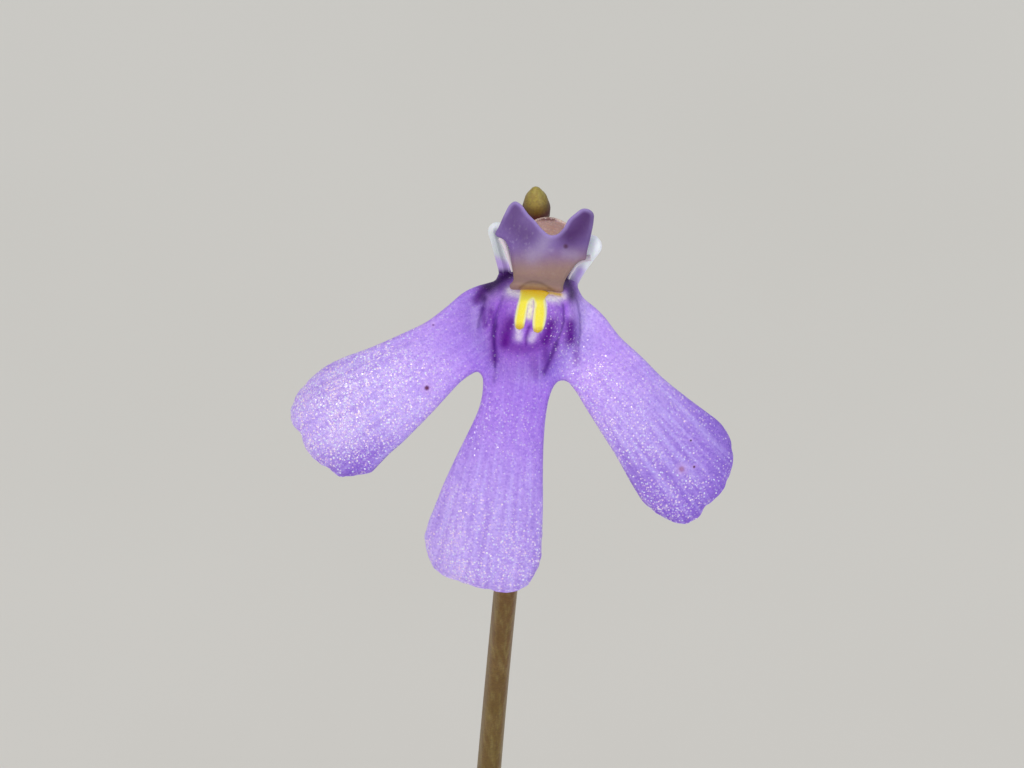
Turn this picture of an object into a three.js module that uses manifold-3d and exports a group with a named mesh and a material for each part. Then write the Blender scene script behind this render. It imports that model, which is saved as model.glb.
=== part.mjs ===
// A potted three-fingered bladderwort: a plain plastic pot of peat and sand, creeping stolons with
// spatulate leaves and bladder traps, one thread-like flower stem, and a single violet flower.
// Millimetres, +Z up. The origin is the centre of the pot's foot, on the surface it stands on.
import * as THREE from "three";
import { mergeVertices } from "three/addons/utils/BufferGeometryUtils.js";
import Module from "manifold-3d";

const wasm = await Module();
wasm.setup();

// Driving dimensions of the pot
const POT_HEIGHT = 54;
const POT_RIM_RADIUS = 30;
const POT_FOOT_RADIUS = 21;
const WALL = 1.6;
const RIM_BAND_HEIGHT = 8;
const RIM_BAND_STEP = 1.4;
const FOOT_RING_HEIGHT = 1.8;
const FOOT_RING_WIDTH = 2.6;
const DRAIN_HOLE_RADIUS = 1.9;
const DRAIN_HOLE_COUNT = 6;
const DRAIN_HOLE_CIRCLE = 12.5;
const POT_SIDES = 44;

// Driving dimensions of the soil and of what grows in it
const CLEARANCE = 0.3;
const SOIL_LEVEL = 46;
const SOIL_RELIEF = 0.45;
const STEM_HOLE_RADIUS = 0.85;
const STEM_HOLE_DEPTH = 13;
const CROWN_RADIUS = 1.7;
const CROWN_HEIGHT = 1.5;
const CROWN_SINK = 0.7;
const STOLON_COUNT = 8;
const STOLON_RADIUS = 0.35;
const STOLON_START = 2.6;
const STOLON_END = 20;
const LEAVES_PER_STOLON = 6;
const TRAPS_PER_STOLON = 2;
const TRAP_LENGTH = 1.5;
const BASAL_LEAVES = 6;
const BLADE_THICKNESS = 0.6;

// Driving dimensions of the flower stem and of the flower
const STEM_BASE = new THREE.Vector2(-2.6, 4.5);
const STEM_BASE_RADIUS = 0.45;
const STEM_TOP_RADIUS = 0.34;
const THROAT = new THREE.Vector3(0, -8, 136);
const FLOWER_FACES_UP = 50;
const PALATE_HEIGHT = 1.05;
const SPOT_THICKNESS = 0.35;
const BUD_LENGTH = 1.3;
const BUD_RADIUS = 0.42;
const OVARY_RADIUS = 0.62;

const COLOURS = {
  pot: 0xa85a3c,
  soil: 0x3a2a1e,
  leaf: 0x6d9a2e,
  stem: 0x7d7a3c,
  violet: 0xb497ee,
  white: 0xdfe0ea,
  yellow: 0xf2d62a,
  calyx: 0xa2816f,
  bud: 0xa79a48,
};

// Small helpers

// A repeatable stream of numbers between low and high: a linear congruential generator.
function seededNumbers(seed) {
  let state = seed >>> 0;
  return (low, high) => {
    state = (Math.imul(state, 1664525) + 1013904223) >>> 0;
    return low + ((high - low) * state) / 4294967296;
  };
}

function smoothstep(low, high, value) {
  const t = Math.min(1, Math.max(0, (value - low) / (high - low)));
  return t * t * (3 - 2 * t);
}

function mix(a, b, t) {
  return a + (b - a) * t;
}

// Signed volume of a triangle list, used to turn a body the right way out.
function signedVolume(points, triangles) {
  const cross = new THREE.Vector3();
  let sum = 0;
  for (let i = 0; i < triangles.length; i += 3) {
    const [a, b, c] = [points[triangles[i]], points[triangles[i + 1]], points[triangles[i + 2]]];
    sum += a.dot(cross.crossVectors(b, c)) / 6;
  }
  return sum;
}

// One closed body from corner points and triangles, facing out whichever way it was wound.
function closedBody(points, triangles) {
  const outward = signedVolume(points, triangles) > 0;
  const index = outward ? triangles : [...triangles].reverse();
  return new THREE.BufferGeometry().setFromPoints(points).setIndex(index);
}

// A body carried through rings of equal count, each end closed by a fan about its middle.
function loft(rings) {
  const count = rings[0].length;
  const points = rings.flat();
  const triangles = [];
  for (let r = 0; r + 1 < rings.length; r++) {
    for (let i = 0; i < count; i++) {
      const a = r * count + i;
      const b = r * count + ((i + 1) % count);
      triangles.push(a, b, a + count, b, b + count, a + count);
    }
  }
  for (const [ring, turned] of [[0, true], [rings.length - 1, false]]) {
    const middle = rings[ring].reduce((sum, p) => sum.add(p), new THREE.Vector3()).divideScalar(count);
    const hub = points.push(middle) - 1;
    for (let i = 0; i < count; i++) {
      const a = ring * count + i;
      const b = ring * count + ((i + 1) % count);
      triangles.push(...(turned ? [b, a, hub] : [a, b, hub]));
    }
  }
  return closedBody(points, triangles);
}

function solidOf(geometry) {
  const bare = (geometry.index ? geometry.toNonIndexed() : geometry.clone())
    .deleteAttribute("normal")
    .deleteAttribute("uv");
  const merged = mergeVertices(bare, 1e-4);
  return new wasm.Manifold(
    new wasm.Mesh({
      numProp: 3,
      vertProperties: new Float32Array(merged.attributes.position.array),
      triVerts: new Uint32Array(merged.index.array),
    }),
  );
}

function geometryOf(solid) {
  const mesh = solid.getMesh();
  return new THREE.BufferGeometry()
    .setAttribute("position", new THREE.BufferAttribute(mesh.vertProperties, mesh.numProp))
    .setIndex(new THREE.BufferAttribute(mesh.triVerts, 1));
}

function joined(geometries) {
  return geometryOf(geometries.map(solidOf).reduce((whole, next) => whole.add(next)));
}

function cut(geometry, tools) {
  return geometryOf(tools.map(solidOf).reduce((whole, tool) => whole.subtract(tool), solidOf(geometry)));
}

function namedMesh(name, geometry, colour, roughness) {
  const flat = geometry.index ? geometry.toNonIndexed() : geometry;
  flat.computeVertexNormals();
  const material = new THREE.MeshStandardMaterial({ color: colour, roughness, metalness: 0 });
  const mesh = new THREE.Mesh(flat, material);
  mesh.name = name;
  return mesh;
}

// An upright cylinder from its lowest level, used for plain holes and the crown.
function uprightCylinder(x, y, bottom, radius, height, sides) {
  return new THREE.CylinderGeometry(radius, radius, height, sides)
    .rotateX(Math.PI / 2)
    .translate(x, y, bottom + height / 2);
}

// A round stem along a curve; radiusAt gives its radius at a share of the way.
function taperedStem(curve, radiusAt, steps, sides) {
  const frames = curve.computeFrenetFrames(steps, false);
  const rings = [];
  for (let i = 0; i <= steps; i++) {
    const centre = curve.getPointAt(i / steps);
    const radius = radiusAt(i / steps);
    rings.push(
      Array.from({ length: sides }, (_, s) => {
        const turn = (2 * Math.PI * s) / sides;
        return centre
          .clone()
          .addScaledVector(frames.normals[i], radius * Math.cos(turn))
          .addScaledVector(frames.binormals[i], radius * Math.sin(turn));
      }),
    );
  }
  return loft(rings);
}

// A flat-sided blade over a closed outline. Rays run from the centre to the outline; the front and the
// back stand at front(x, y) and back(x, y), are split alike, and meet in a plain edge.
function outlineBlade(outline, centre, shares, front, back) {
  const count = outline.length;
  const points = [];
  const triangles = [];
  const sheet = (height, turned) => {
    const hub = points.push(new THREE.Vector3(centre[0], centre[1], height(...centre))) - 1;
    const first = points.length;
    for (const share of shares) {
      for (const p of outline) {
        const x = mix(centre[0], p.x, share);
        const y = mix(centre[1], p.y, share);
        points.push(new THREE.Vector3(x, y, height(x, y)));
      }
    }
    const face = (a, b, c) => triangles.push(...(turned ? [a, c, b] : [a, b, c]));
    for (let i = 0; i < count; i++) {
      const next = (i + 1) % count;
      face(hub, first + i, first + next);
      for (let r = 0; r + 1 < shares.length; r++) {
        const near = first + r * count;
        face(near + i, near + count + i, near + next);
        face(near + next, near + count + i, near + count + next);
      }
    }
    return first + (shares.length - 1) * count;
  };
  const frontRim = sheet(front, false);
  const backRim = sheet(back, true);
  for (let i = 0; i < count; i++) {
    const next = (i + 1) % count;
    triangles.push(frontRim + i, backRim + i, frontRim + next);
    triangles.push(frontRim + next, backRim + i, backRim + next);
  }
  return closedBody(points, triangles);
}

function smoothOutline(corners, count) {
  const curve = new THREE.CatmullRomCurve3(
    corners.map(([x, y]) => new THREE.Vector3(x, y, 0)),
    true,
    "centripetal",
  );
  return curve.getSpacedPoints(count).slice(0, count);
}

// The pot

// Outer radius of the tapered wall at a height, below the rim band.
function wallRadius(z) {
  return mix(POT_FOOT_RADIUS, POT_RIM_RADIUS - RIM_BAND_STEP, z / POT_HEIGHT);
}

function pot() {
  const footInner = POT_FOOT_RADIUS - FOOT_RING_WIDTH;
  const floorTop = FOOT_RING_HEIGHT + WALL;
  const bandBottom = POT_HEIGHT - RIM_BAND_HEIGHT;
  const lip = WALL / 2;
  const innerRim = POT_RIM_RADIUS - RIM_BAND_STEP - WALL;
  const profile = [
    [0, FOOT_RING_HEIGHT],
    [footInner - 0.5, FOOT_RING_HEIGHT],
    [footInner, 0],
    [POT_FOOT_RADIUS - 0.5, 0],
    [POT_FOOT_RADIUS, 0.5],
    [wallRadius(bandBottom), bandBottom],
    [POT_RIM_RADIUS - 0.4, bandBottom + 0.2],
    [POT_RIM_RADIUS, bandBottom + 0.8],
    [POT_RIM_RADIUS, POT_HEIGHT - lip],
    [POT_RIM_RADIUS - lip * 0.4, POT_HEIGHT - lip * 0.3],
    [POT_RIM_RADIUS - lip, POT_HEIGHT],
    [innerRim + lip, POT_HEIGHT],
    [innerRim, POT_HEIGHT - lip],
    [wallRadius(floorTop) - WALL, floorTop],
    [0, floorTop],
  ].map(([r, z]) => new THREE.Vector2(r, z));
  const body = new THREE.LatheGeometry(profile, POT_SIDES).rotateX(Math.PI / 2);
  const holes = Array.from({ length: DRAIN_HOLE_COUNT }, (_, i) => {
    const turn = (2 * Math.PI * (i + 0.5)) / DRAIN_HOLE_COUNT;
    const [x, y] = [DRAIN_HOLE_CIRCLE * Math.cos(turn), DRAIN_HOLE_CIRCLE * Math.sin(turn)];
    return uprightCylinder(x, y, 0.5, DRAIN_HOLE_RADIUS, floorTop + 1, 12);
  });
  return cut(body, holes);
}

// The soil

// Level of the peat: two crossed swells, and a slight dish towards the pot's wall.
function soilHeight(x, y) {
  const swell = Math.sin(0.42 * x + 0.6) * Math.cos(0.37 * y - 0.4) + 0.5 * Math.sin(0.3 * x - 0.5 * y);
  const dish = smoothstep(18, 27, Math.hypot(x, y));
  return SOIL_LEVEL + SOIL_RELIEF * swell - 0.9 * dish;
}

function soil() {
  const rings = 10;
  const sides = POT_SIDES;
  const floorLevel = FOOT_RING_HEIGHT + WALL + CLEARANCE;
  const topRadius = wallRadius(SOIL_LEVEL - 1.5) - WALL - CLEARANCE;
  const bottomRadius = wallRadius(floorLevel) - WALL - CLEARANCE;
  const points = [new THREE.Vector3(0, 0, soilHeight(0, 0))];
  const triangles = [];
  const ringAt = (radius, level) => {
    const first = points.length;
    for (let i = 0; i < sides; i++) {
      const turn = (2 * Math.PI * i) / sides;
      const [x, y] = [radius * Math.cos(turn), radius * Math.sin(turn)];
      points.push(new THREE.Vector3(x, y, level ?? soilHeight(x, y)));
    }
    return first;
  };
  const starts = Array.from({ length: rings }, (_, r) => ringAt((topRadius * (r + 1)) / rings));
  starts.push(ringAt(bottomRadius, floorLevel));
  const under = points.push(new THREE.Vector3(0, 0, floorLevel)) - 1;
  for (let i = 0; i < sides; i++) {
    const next = (i + 1) % sides;
    triangles.push(0, starts[0] + i, starts[0] + next);
    for (let r = 0; r + 1 < starts.length; r++) {
      const [near, far] = [starts[r], starts[r + 1]];
      triangles.push(near + i, far + i, near + next, near + next, far + i, far + next);
    }
    triangles.push(starts[rings] + i, under, starts[rings] + next);
  }
  const top = soilHeight(STEM_BASE.x, STEM_BASE.y) + 3;
  const stemHole = uprightCylinder(
    STEM_BASE.x, STEM_BASE.y, top - 3 - STEM_HOLE_DEPTH, STEM_HOLE_RADIUS, STEM_HOLE_DEPTH + 3, 12,
  );
  const crownHole = uprightCylinder(
    STEM_BASE.x, STEM_BASE.y, crownFoot() - CLEARANCE, CROWN_RADIUS + CLEARANCE, top, 16,
  );
  return cut(closedBody(points, triangles), [stemHole, crownHole]);
}

// Leaves and traps

// A petiole that widens into a narrow spatulate blade, bent over towards its tip. The blade is a plate of
// even thickness, ridged along its middle. heading turns about +Z, lift and droop are in radians.
function leaf(foot, heading, lift, droop, length, width) {
  const steps = 5;
  const outward = new THREE.Vector3(Math.cos(heading), Math.sin(heading), 0);
  const side = new THREE.Vector3(-Math.sin(heading), Math.cos(heading), 0);
  const centre = foot.clone();
  const rings = [];
  for (let i = 0; i <= steps; i++) {
    const along = i / steps;
    const tilt = lift - droop * along;
    const run = outward.clone().multiplyScalar(Math.cos(tilt)).setZ(Math.sin(tilt));
    const up = outward.clone().multiplyScalar(-Math.sin(tilt)).setZ(Math.cos(tilt));
    const half = leafHalfWidth(along, width);
    const thick = BLADE_THICKNESS / 2;
    const ridge = 0.12 * smoothstep(0.3, 0.7, along);
    rings.push(
      [[-half, thick], [0, thick + ridge], [half, thick], [half, -thick], [0, ridge - thick], [-half, -thick]]
        .map(([a, b]) => centre.clone().addScaledVector(side, a).addScaledVector(up, b)),
    );
    centre.addScaledVector(run, length / steps);
  }
  return loft(rings);
}

// Half the width of a leaf at a share of its length: a thin petiole, widest at three quarters, blunt tip.
function leafHalfWidth(along, width) {
  const petiole = 0.3;
  const swell = smoothstep(0.25, 0.72, along) * (1 - 0.62 * smoothstep(0.8, 1, along));
  return mix(petiole, width / 2, swell);
}

// A bladder trap: a small egg beside its stolon, on a stalk as short as the stolon's own radius.
function trap(foot, heading) {
  return new THREE.SphereGeometry(TRAP_LENGTH / 2, 6, 4)
    .scale(1, 0.72, 0.8)
    .translate(TRAP_LENGTH * 0.42, 0, 0.22)
    .rotateZ(heading)
    .translate(foot.x, foot.y, foot.z);
}

// The creeping line of a stolon: outwards from the crown, turning slowly, just above the peat.
function stolonCurve(index, numbers) {
  const start = (2 * Math.PI * (index + 0.5)) / STOLON_COUNT;
  const turn = numbers(-0.22, 0.22);
  const reach = STOLON_END - numbers(0, 3);
  const points = [];
  for (let i = 0; i <= 6; i++) {
    const along = i / 6;
    const angle = start + turn * along * along + 0.05 * Math.sin(7 * along + index);
    const radius = mix(STOLON_START, reach, along);
    const nearCrown = 1 - smoothstep(0, 0.6, along);
    const x = radius * Math.cos(angle) + STEM_BASE.x * nearCrown;
    const y = radius * Math.sin(angle) + STEM_BASE.y * nearCrown;
    points.push(new THREE.Vector3(x, y, soilHeight(x, y) + STOLON_RADIUS + CLEARANCE));
  }
  return new THREE.CatmullRomCurve3(points);
}

function stolonTube(curve) {
  const sides = 5;
  const section = new THREE.Shape(
    Array.from({ length: sides }, (_, i) => {
      const turn = (2 * Math.PI * i) / sides;
      return new THREE.Vector2(STOLON_RADIUS * Math.cos(turn), STOLON_RADIUS * Math.sin(turn));
    }),
  );
  return new THREE.ExtrudeGeometry(section, { extrudePath: curve, steps: 9, bevelEnabled: false });
}

function stolon(index) {
  const numbers = seededNumbers(101 + index);
  const curve = stolonCurve(index, numbers);
  const pieces = [stolonTube(curve)];
  for (let i = 0; i < LEAVES_PER_STOLON; i++) {
    const along = mix(0.3, 0.97, i / (LEAVES_PER_STOLON - 1));
    const foot = curve.getPointAt(along);
    const run = curve.getTangentAt(along);
    const side = i % 2 ? 1 : -1;
    const heading = Math.atan2(run.y, run.x) + side * numbers(0.35, 0.8);
    const lift = numbers(0.95, 1.2);
    const droop = numbers(0.5, 0.9);
    const length = numbers(6.2, 8.2) - 1.2 * along;
    pieces.push(leaf(foot, heading, lift, droop, length, numbers(1.7, 2.1)));
  }
  for (let i = 0; i < TRAPS_PER_STOLON; i++) {
    const along = mix(0.3, 0.86, i / (TRAPS_PER_STOLON - 1));
    const foot = curve.getPointAt(along);
    const run = curve.getTangentAt(along);
    const side = i % 2 ? -1 : 1;
    pieces.push(trap(foot, Math.atan2(run.y, run.x) + (side * Math.PI) / 2));
  }
  return joined(pieces);
}

// The crown at the stem's foot

function crownFoot() {
  return soilHeight(STEM_BASE.x, STEM_BASE.y) - CROWN_SINK;
}

function crown() {
  const numbers = seededNumbers(57);
  const foot = crownFoot();
  const pieces = [uprightCylinder(STEM_BASE.x, STEM_BASE.y, foot, CROWN_RADIUS, CROWN_HEIGHT, 14)];
  for (let i = 0; i < BASAL_LEAVES; i++) {
    const heading = (2 * Math.PI * i) / BASAL_LEAVES + numbers(-0.2, 0.2);
    const start = new THREE.Vector3(
      STEM_BASE.x + CROWN_RADIUS * 0.72 * Math.cos(heading),
      STEM_BASE.y + CROWN_RADIUS * 0.72 * Math.sin(heading),
      foot + CROWN_HEIGHT * 0.6,
    );
    pieces.push(leaf(start, heading, numbers(1.1, 1.25), numbers(0.4, 0.7), numbers(7, 9), 2));
  }
  const bore = uprightCylinder(
    STEM_BASE.x, STEM_BASE.y, foot - 1, STEM_BASE_RADIUS + CLEARANCE, CROWN_HEIGHT + 4, 12,
  );
  return cut(joined(pieces), [bore]);
}

// The flower stands in its own frame: +X to its left as it faces the eye, +Y up its face, +Z out of it.
// Its middle, the throat, is at THROAT, and its face looks FLOWER_FACES_UP degrees above level, towards -Y.
const flower = new THREE.Group();
flower.position.copy(THROAT);
flower.rotation.x = THREE.MathUtils.degToRad(90 - FLOWER_FACES_UP);
flower.updateMatrixWorld(true);

function inRoom(x, y, z) {
  return flower.localToWorld(new THREE.Vector3(x, y, z));
}

// The flower stem

const NODE_OF_STEM = inRoom(0.1, -0.13, -6.68);
const STEM_TIP = inRoom(0.03, 1.9, -4.4);
const PEDICEL_TIP = inRoom(0.15, 0.2, -4.62);

function stem() {
  const foot = soilHeight(STEM_BASE.x, STEM_BASE.y);
  const main = new THREE.CatmullRomCurve3([
    new THREE.Vector3(STEM_BASE.x, STEM_BASE.y, foot - STEM_HOLE_DEPTH + 1),
    new THREE.Vector3(STEM_BASE.x, STEM_BASE.y, foot),
    new THREE.Vector3(STEM_BASE.x - 0.2, STEM_BASE.y + 0.2, foot + 14),
    new THREE.Vector3(-2.2, 4.4, 80),
    new THREE.Vector3(-1.5, 2.9, 98),
    new THREE.Vector3(-0.7, 0.2, 115),
    NODE_OF_STEM,
    STEM_TIP,
  ]);
  const pedicel = new THREE.CatmullRomCurve3([
    NODE_OF_STEM,
    NODE_OF_STEM.clone().lerp(PEDICEL_TIP, 0.5).add(new THREE.Vector3(0, 0.1, 0)),
    PEDICEL_TIP,
  ]);
  const bracts = [0.5, 2.6, -1.6].map((heading) =>
    leaf(NODE_OF_STEM.clone().setZ(NODE_OF_STEM.z - 0.3), heading, 1.15, 0.3, 1.7, 0.9),
  );
  return joined([
    taperedStem(main, (share) => mix(STEM_BASE_RADIUS, STEM_TOP_RADIUS, share), 30, 8),
    taperedStem(pedicel, () => STEM_TOP_RADIUS * 0.93, 6, 8),
    ...bracts,
  ]);
}

// The bud at the stem's tip: a pointed egg a hair above it.
function bud() {
  const profile = [
    [0, 0],
    [0.62, 0.06],
    [0.95, 0.25],
    [1, 0.42],
    [0.78, 0.68],
    [0.36, 0.9],
    [0, 1],
  ].map(([r, z]) => new THREE.Vector2(r * BUD_RADIUS, z * BUD_LENGTH));
  const along = STEM_TIP.clone().sub(NODE_OF_STEM).normalize();
  const turn = new THREE.Quaternion().setFromUnitVectors(new THREE.Vector3(0, 1, 0), along);
  const seat = STEM_TIP.clone().addScaledVector(along, 0.15);
  return new THREE.LatheGeometry(profile, 10).applyQuaternion(turn).translate(seat.x, seat.y, seat.z);
}

// The corolla. Outlines are in the flower's frame, anticlockwise seen from the front.

const RAY_CENTRE = [-0.1, -0.3];

const LOWER_LIP_OUTLINE = [
  // left lobe, from its shoulder round its tip to the first sinus
  [-1.3, 0.2], [-2.0, -0.1], [-3.0, -0.86], [-4.47, -1.55], [-5.75, -2.07], [-6.47, -2.75],
  [-6.67, -3.45], [-6.12, -4.55], [-5.35, -5.07], [-4.5, -4.93], [-3.6, -4.1], [-2.64, -3.15],
  [-1.95, -2.42], [-1.6, -2.23], [-1.46, -2.55],
  // middle lobe, down its left edge and up its right
  [-1.76, -3.74], [-2.47, -5.15], [-2.98, -6.5], [-2.93, -7.35], [-2.3, -7.87], [-1.3, -8.18],
  [-0.45, -8.15], [0.08, -7.45], [0.18, -6.0], [0.2, -4.24], [0.36, -2.92], [0.62, -2.48], [0.92, -2.54],
  // right lobe, down its inner edge and up to its shoulder
  [1.37, -3.24], [2.2, -4.57], [2.92, -5.8], [3.85, -6.37], [4.55, -6.05], [5.18, -5.3], [5.36, -4.45],
  [5.04, -3.65], [4.12, -2.94], [2.87, -1.82], [1.87, -0.73], [1.36, -0.25],
  // shoulders and the top of the palate, under the upper lip
  [1.15, 0.08], [0.78, 0.02], [0.1, 0.12], [-0.62, 0.16], [-1.0, 0.42],
];

const UPPER_LIP_OUTLINE = [
  [-0.62, -0.02], [0.1, -0.2], [0.76, -0.1], [0.9, 0.35], [1.12, 0.74], [1.36, 0.82], [1.5, 1.45],
  [1.57, 2.02], [1.4, 2.22], [1.1, 2.14], [0.85, 1.85], [0.6, 1.52], [0.36, 1.5], [0.0, 1.85],
  [-0.38, 2.3], [-0.56, 2.42], [-0.74, 2.32], [-0.98, 1.8], [-1.12, 1.5], [-0.92, 1.38], [-0.72, 1.1],
  [-0.66, 0.45],
];

// Each lobe's middle line: where it leaves the palate, its heading in degrees, and its length.
const LOBES = [
  { foot: [-0.9, -0.9], heading: 214.5, length: 6.7 },
  { foot: [-0.45, -1.6], heading: 264, length: 6.7 },
  { foot: [0.9, -1.2], heading: 309.7, length: 6.5 },
];
const SINUS_HEADINGS = [235, 290];
const LOBE_CROWN = 0.13;
const LOBE_ARCH = 0.35;
const TIP_RECURVE = 0.75;

// Height of one lobe: crowned across its middle line, arched along it, its tip bent back.
function lobeHeight(lobe, x, y) {
  const turn = THREE.MathUtils.degToRad(lobe.heading);
  const [dx, dy] = [x - lobe.foot[0], y - lobe.foot[1]];
  const along = (dx * Math.cos(turn) + dy * Math.sin(turn)) / lobe.length;
  const across = dy * Math.cos(turn) - dx * Math.sin(turn);
  const arch = LOBE_ARCH * Math.sin(Math.PI * Math.min(1, Math.max(0, along)));
  return arch - TIP_RECURVE * smoothstep(0.45, 1.15, along) - LOBE_CROWN * across * across;
}

// Height of the three lobes together: each holds its own sector round the ray centre.
function lobesHeight(x, y) {
  const turn = Math.atan2(y - RAY_CENTRE[1], x - RAY_CENTRE[0]);
  const sector = THREE.MathUtils.euclideanModulo(THREE.MathUtils.radToDeg(turn) - 70, 360) + 70;
  const past = SINUS_HEADINGS.map((sinus) => smoothstep(sinus - 9, sinus + 9, sector));
  const [left, middle, right] = LOBES.map((lobe) => lobeHeight(lobe, x, y));
  return mix(mix(left, middle, past[0]), right, past[1]);
}

// The palate: a rounded boss in front of the throat, steep at its top, fading down the middle lobe,
// with a groove on either side of its yellow middle.
function palateHeight(x, y) {
  const middle = -0.08 + 0.14 * y;
  const half = mix(0.85, 1.38, smoothstep(-2.6, -0.8, y));
  const across = Math.abs(x - middle) / half;
  const along = smoothstep(-2.9, -0.9, y) * (1 - 0.85 * smoothstep(-0.4, 0.16, y));
  const groove = (centre) => Math.exp(-(((x - centre) / 0.16) ** 2));
  const grooves = 0.22 * (groove(-1.1) + groove(0.72 + 0.1 * Math.min(0, y + 1)));
  return PALATE_HEIGHT * along * ((1 - smoothstep(0.45, 1.15, across)) - grooves);
}

function lowerLip() {
  const outline = smoothOutline(LOWER_LIP_OUTLINE, 84);
  const shares = [0.09, 0.17, 0.26, 0.38, 0.55, 0.78, 1];
  const front = (x, y) => lobesHeight(x, y) + Math.max(0, palateHeight(x, y));
  const back = (x, y) => lobesHeight(x, y) - BLADE_THICKNESS;
  return outlineBlade(outline, RAY_CENTRE, shares, front, back);
}

// The upper lip: rolled forward at its foot, leaning back to its two points, its sides turned back.
function upperLipHeight(x, y) {
  const middle = 0.08 + 0.17 * y;
  const roll = 0.22 * Math.exp(-(((y - 0.25) / 0.22) ** 2));
  return 0.32 + roll - 0.14 * y - 0.17 * (x - middle) ** 2;
}

function upperLip() {
  const outline = smoothOutline(UPPER_LIP_OUTLINE, 40);
  const back = (x, y) => upperLipHeight(x, y) - BLADE_THICKNESS;
  return outlineBlade(outline, [0.3, 0.85], [0.35, 0.7, 1], upperLipHeight, back);
}

// Rings of an oval tube: each row is [x, y, z, half width, half height] of one ring.
function ovalTube(rows, sides) {
  return loft(
    rows.map(([x, y, z, halfWidth, halfHeight]) =>
      Array.from({ length: sides }, (_, i) => {
        const turn = (2 * Math.PI * (i + 0.5)) / sides;
        return new THREE.Vector3(x + halfWidth * Math.cos(turn), y + halfHeight * Math.sin(turn), z);
      }),
    ),
  );
}

function throatTube() {
  return ovalTube([[0.1, -0.38, 0.05, 0.9, 0.5], [0.1, -0.33, -1.0, 0.8, 0.55], [0.13, -0.05, -2.25, 0.46, 0.4]], 10);
}

// The spur: a blunt cone hanging behind the middle lobe.
function spur() {
  const curve = new THREE.CatmullRomCurve3([
    new THREE.Vector3(0.08, -0.05, -1.45),
    new THREE.Vector3(-0.08, -1.3, -1.9),
    new THREE.Vector3(-0.28, -2.8, -2.15),
    new THREE.Vector3(-0.5, -4.4, -2.05),
  ]);
  const radiusAt = (share) => mix(0.66, 0.4, share) * Math.sqrt(1 - 0.96 * smoothstep(0.78, 1, share));
  return taperedStem(curve, radiusAt, 10, 10);
}

function corolla() {
  return joined([lowerLip(), upperLip(), throatTube(), spur()]);
}

// The pale collar of the throat: a flared wall that passes behind the upper lip, its two ends standing
// up as rounded white wings. Each section is cut across the wall.
function collar() {
  const steps = 14;
  const sections = [];
  for (let i = 0; i <= steps; i++) {
    const share = i / steps;
    const turn = THREE.MathUtils.degToRad(mix(-98, 98, share));
    const wing = Math.abs(2 * share - 1) ** 2;
    const low = mix(0.55, 0.42, wing);
    const top = mix(1.15, mix(1.84, 1.5, share), wing);
    const at = (y, inset) => {
      const flare = smoothstep(0.2, 1.5, y);
      const middle = mix(0.12, 0.26, flare);
      return new THREE.Vector3(
        middle + (mix(1.2, 1.56, flare) - inset) * Math.sin(turn),
        y,
        -0.95 - (mix(0.75, 0.95, flare) - inset) * Math.cos(turn),
      );
    };
    const middleLevel = (low + top) / 2;
    const shoulder = top - 0.16;
    sections.push([
      at(low, 0.05), at(middleLevel, 0), at(shoulder, 0), at(top, 0.14),
      at(top, 0.46), at(shoulder, 0.6), at(middleLevel, 0.6), at(low, 0.55),
    ]);
  }
  return loft(sections);
}

// The yellow mark: two arms joined at the palate's crest, a pad that follows the palate a hair above it.
function palateSpot() {
  const outline = smoothOutline(
    [
      [-0.42, -0.1], [-0.58, -0.5], [-0.6, -0.92], [-0.42, -1.06], [-0.26, -0.9], [-0.18, -0.62],
      [-0.1, -0.72], [-0.12, -1.0], [0.02, -1.18], [0.2, -1.0], [0.27, -0.55], [0.24, -0.1], [-0.08, -0.04],
    ],
    30,
  );
  const seat = (x, y) => lobesHeight(x, y) + Math.max(0, palateHeight(x, y)) + 0.12;
  return outlineBlade(outline, [-0.17, -0.35], [0.5, 1], (x, y) => seat(x, y) + SPOT_THICKNESS, seat);
}

// The calyx: two cupped sepals and the ovary on a small receptacle. The upper sepal shows over the upper
// lip's notch; the ovary ends a hair behind the throat.

function sepal(halfWidth, halfLength, cup, tilt, place) {
  const outline = Array.from({ length: 16 }, (_, i) => {
    const turn = (2 * Math.PI * i) / 16;
    return new THREE.Vector3(halfWidth * Math.cos(turn), halfLength * Math.sin(turn), 0);
  });
  const front = (x, y) => cup * (x * x + 0.5 * y * y) + BLADE_THICKNESS / 2;
  const back = (x, y) => front(x, y) - BLADE_THICKNESS;
  return outlineBlade(outline, [0, 0], [0.5, 1], front, back)
    .rotateX(THREE.MathUtils.degToRad(tilt))
    .translate(...place);
}

function calyx() {
  const receptacle = new THREE.SphereGeometry(0.72, 10, 8).translate(0.15, 0.25, -3.72);
  return joined([
    receptacle,
    new THREE.SphereGeometry(OVARY_RADIUS, 9, 7).translate(0.14, 0.04, -3.02),
    sepal(0.9, 1.25, 0.22, 48, [0.25, 1.22, -3.05]),
    sepal(0.85, 1.2, -0.16, 150, [0.1, -0.78, -3.66]),
  ]);
}

// Assembly

flower.add(
  namedMesh("corolla", corolla(), COLOURS.violet, 0.5),
  namedMesh("corolla_collar", collar(), COLOURS.white, 0.4),
  namedMesh("palate_spot", palateSpot(), COLOURS.yellow, 0.45),
  namedMesh("calyx", calyx(), COLOURS.calyx, 0.5),
);

const plant = new THREE.Group();
plant.add(flower);
plant.add(
  namedMesh("pot", pot(), COLOURS.pot, 0.55),
  namedMesh("soil", soil(), COLOURS.soil, 0.95),
  namedMesh("basal_leaves", crown(), COLOURS.leaf, 0.45),
  namedMesh("flower_stem", stem(), COLOURS.stem, 0.5),
  namedMesh("flower_bud", bud(), COLOURS.bud, 0.5),
);
for (let i = 0; i < STOLON_COUNT; i++) {
  plant.add(namedMesh(`leafy_stolon_${i + 1}`, stolon(i), COLOURS.leaf, 0.45));
}

export default plant;
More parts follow.
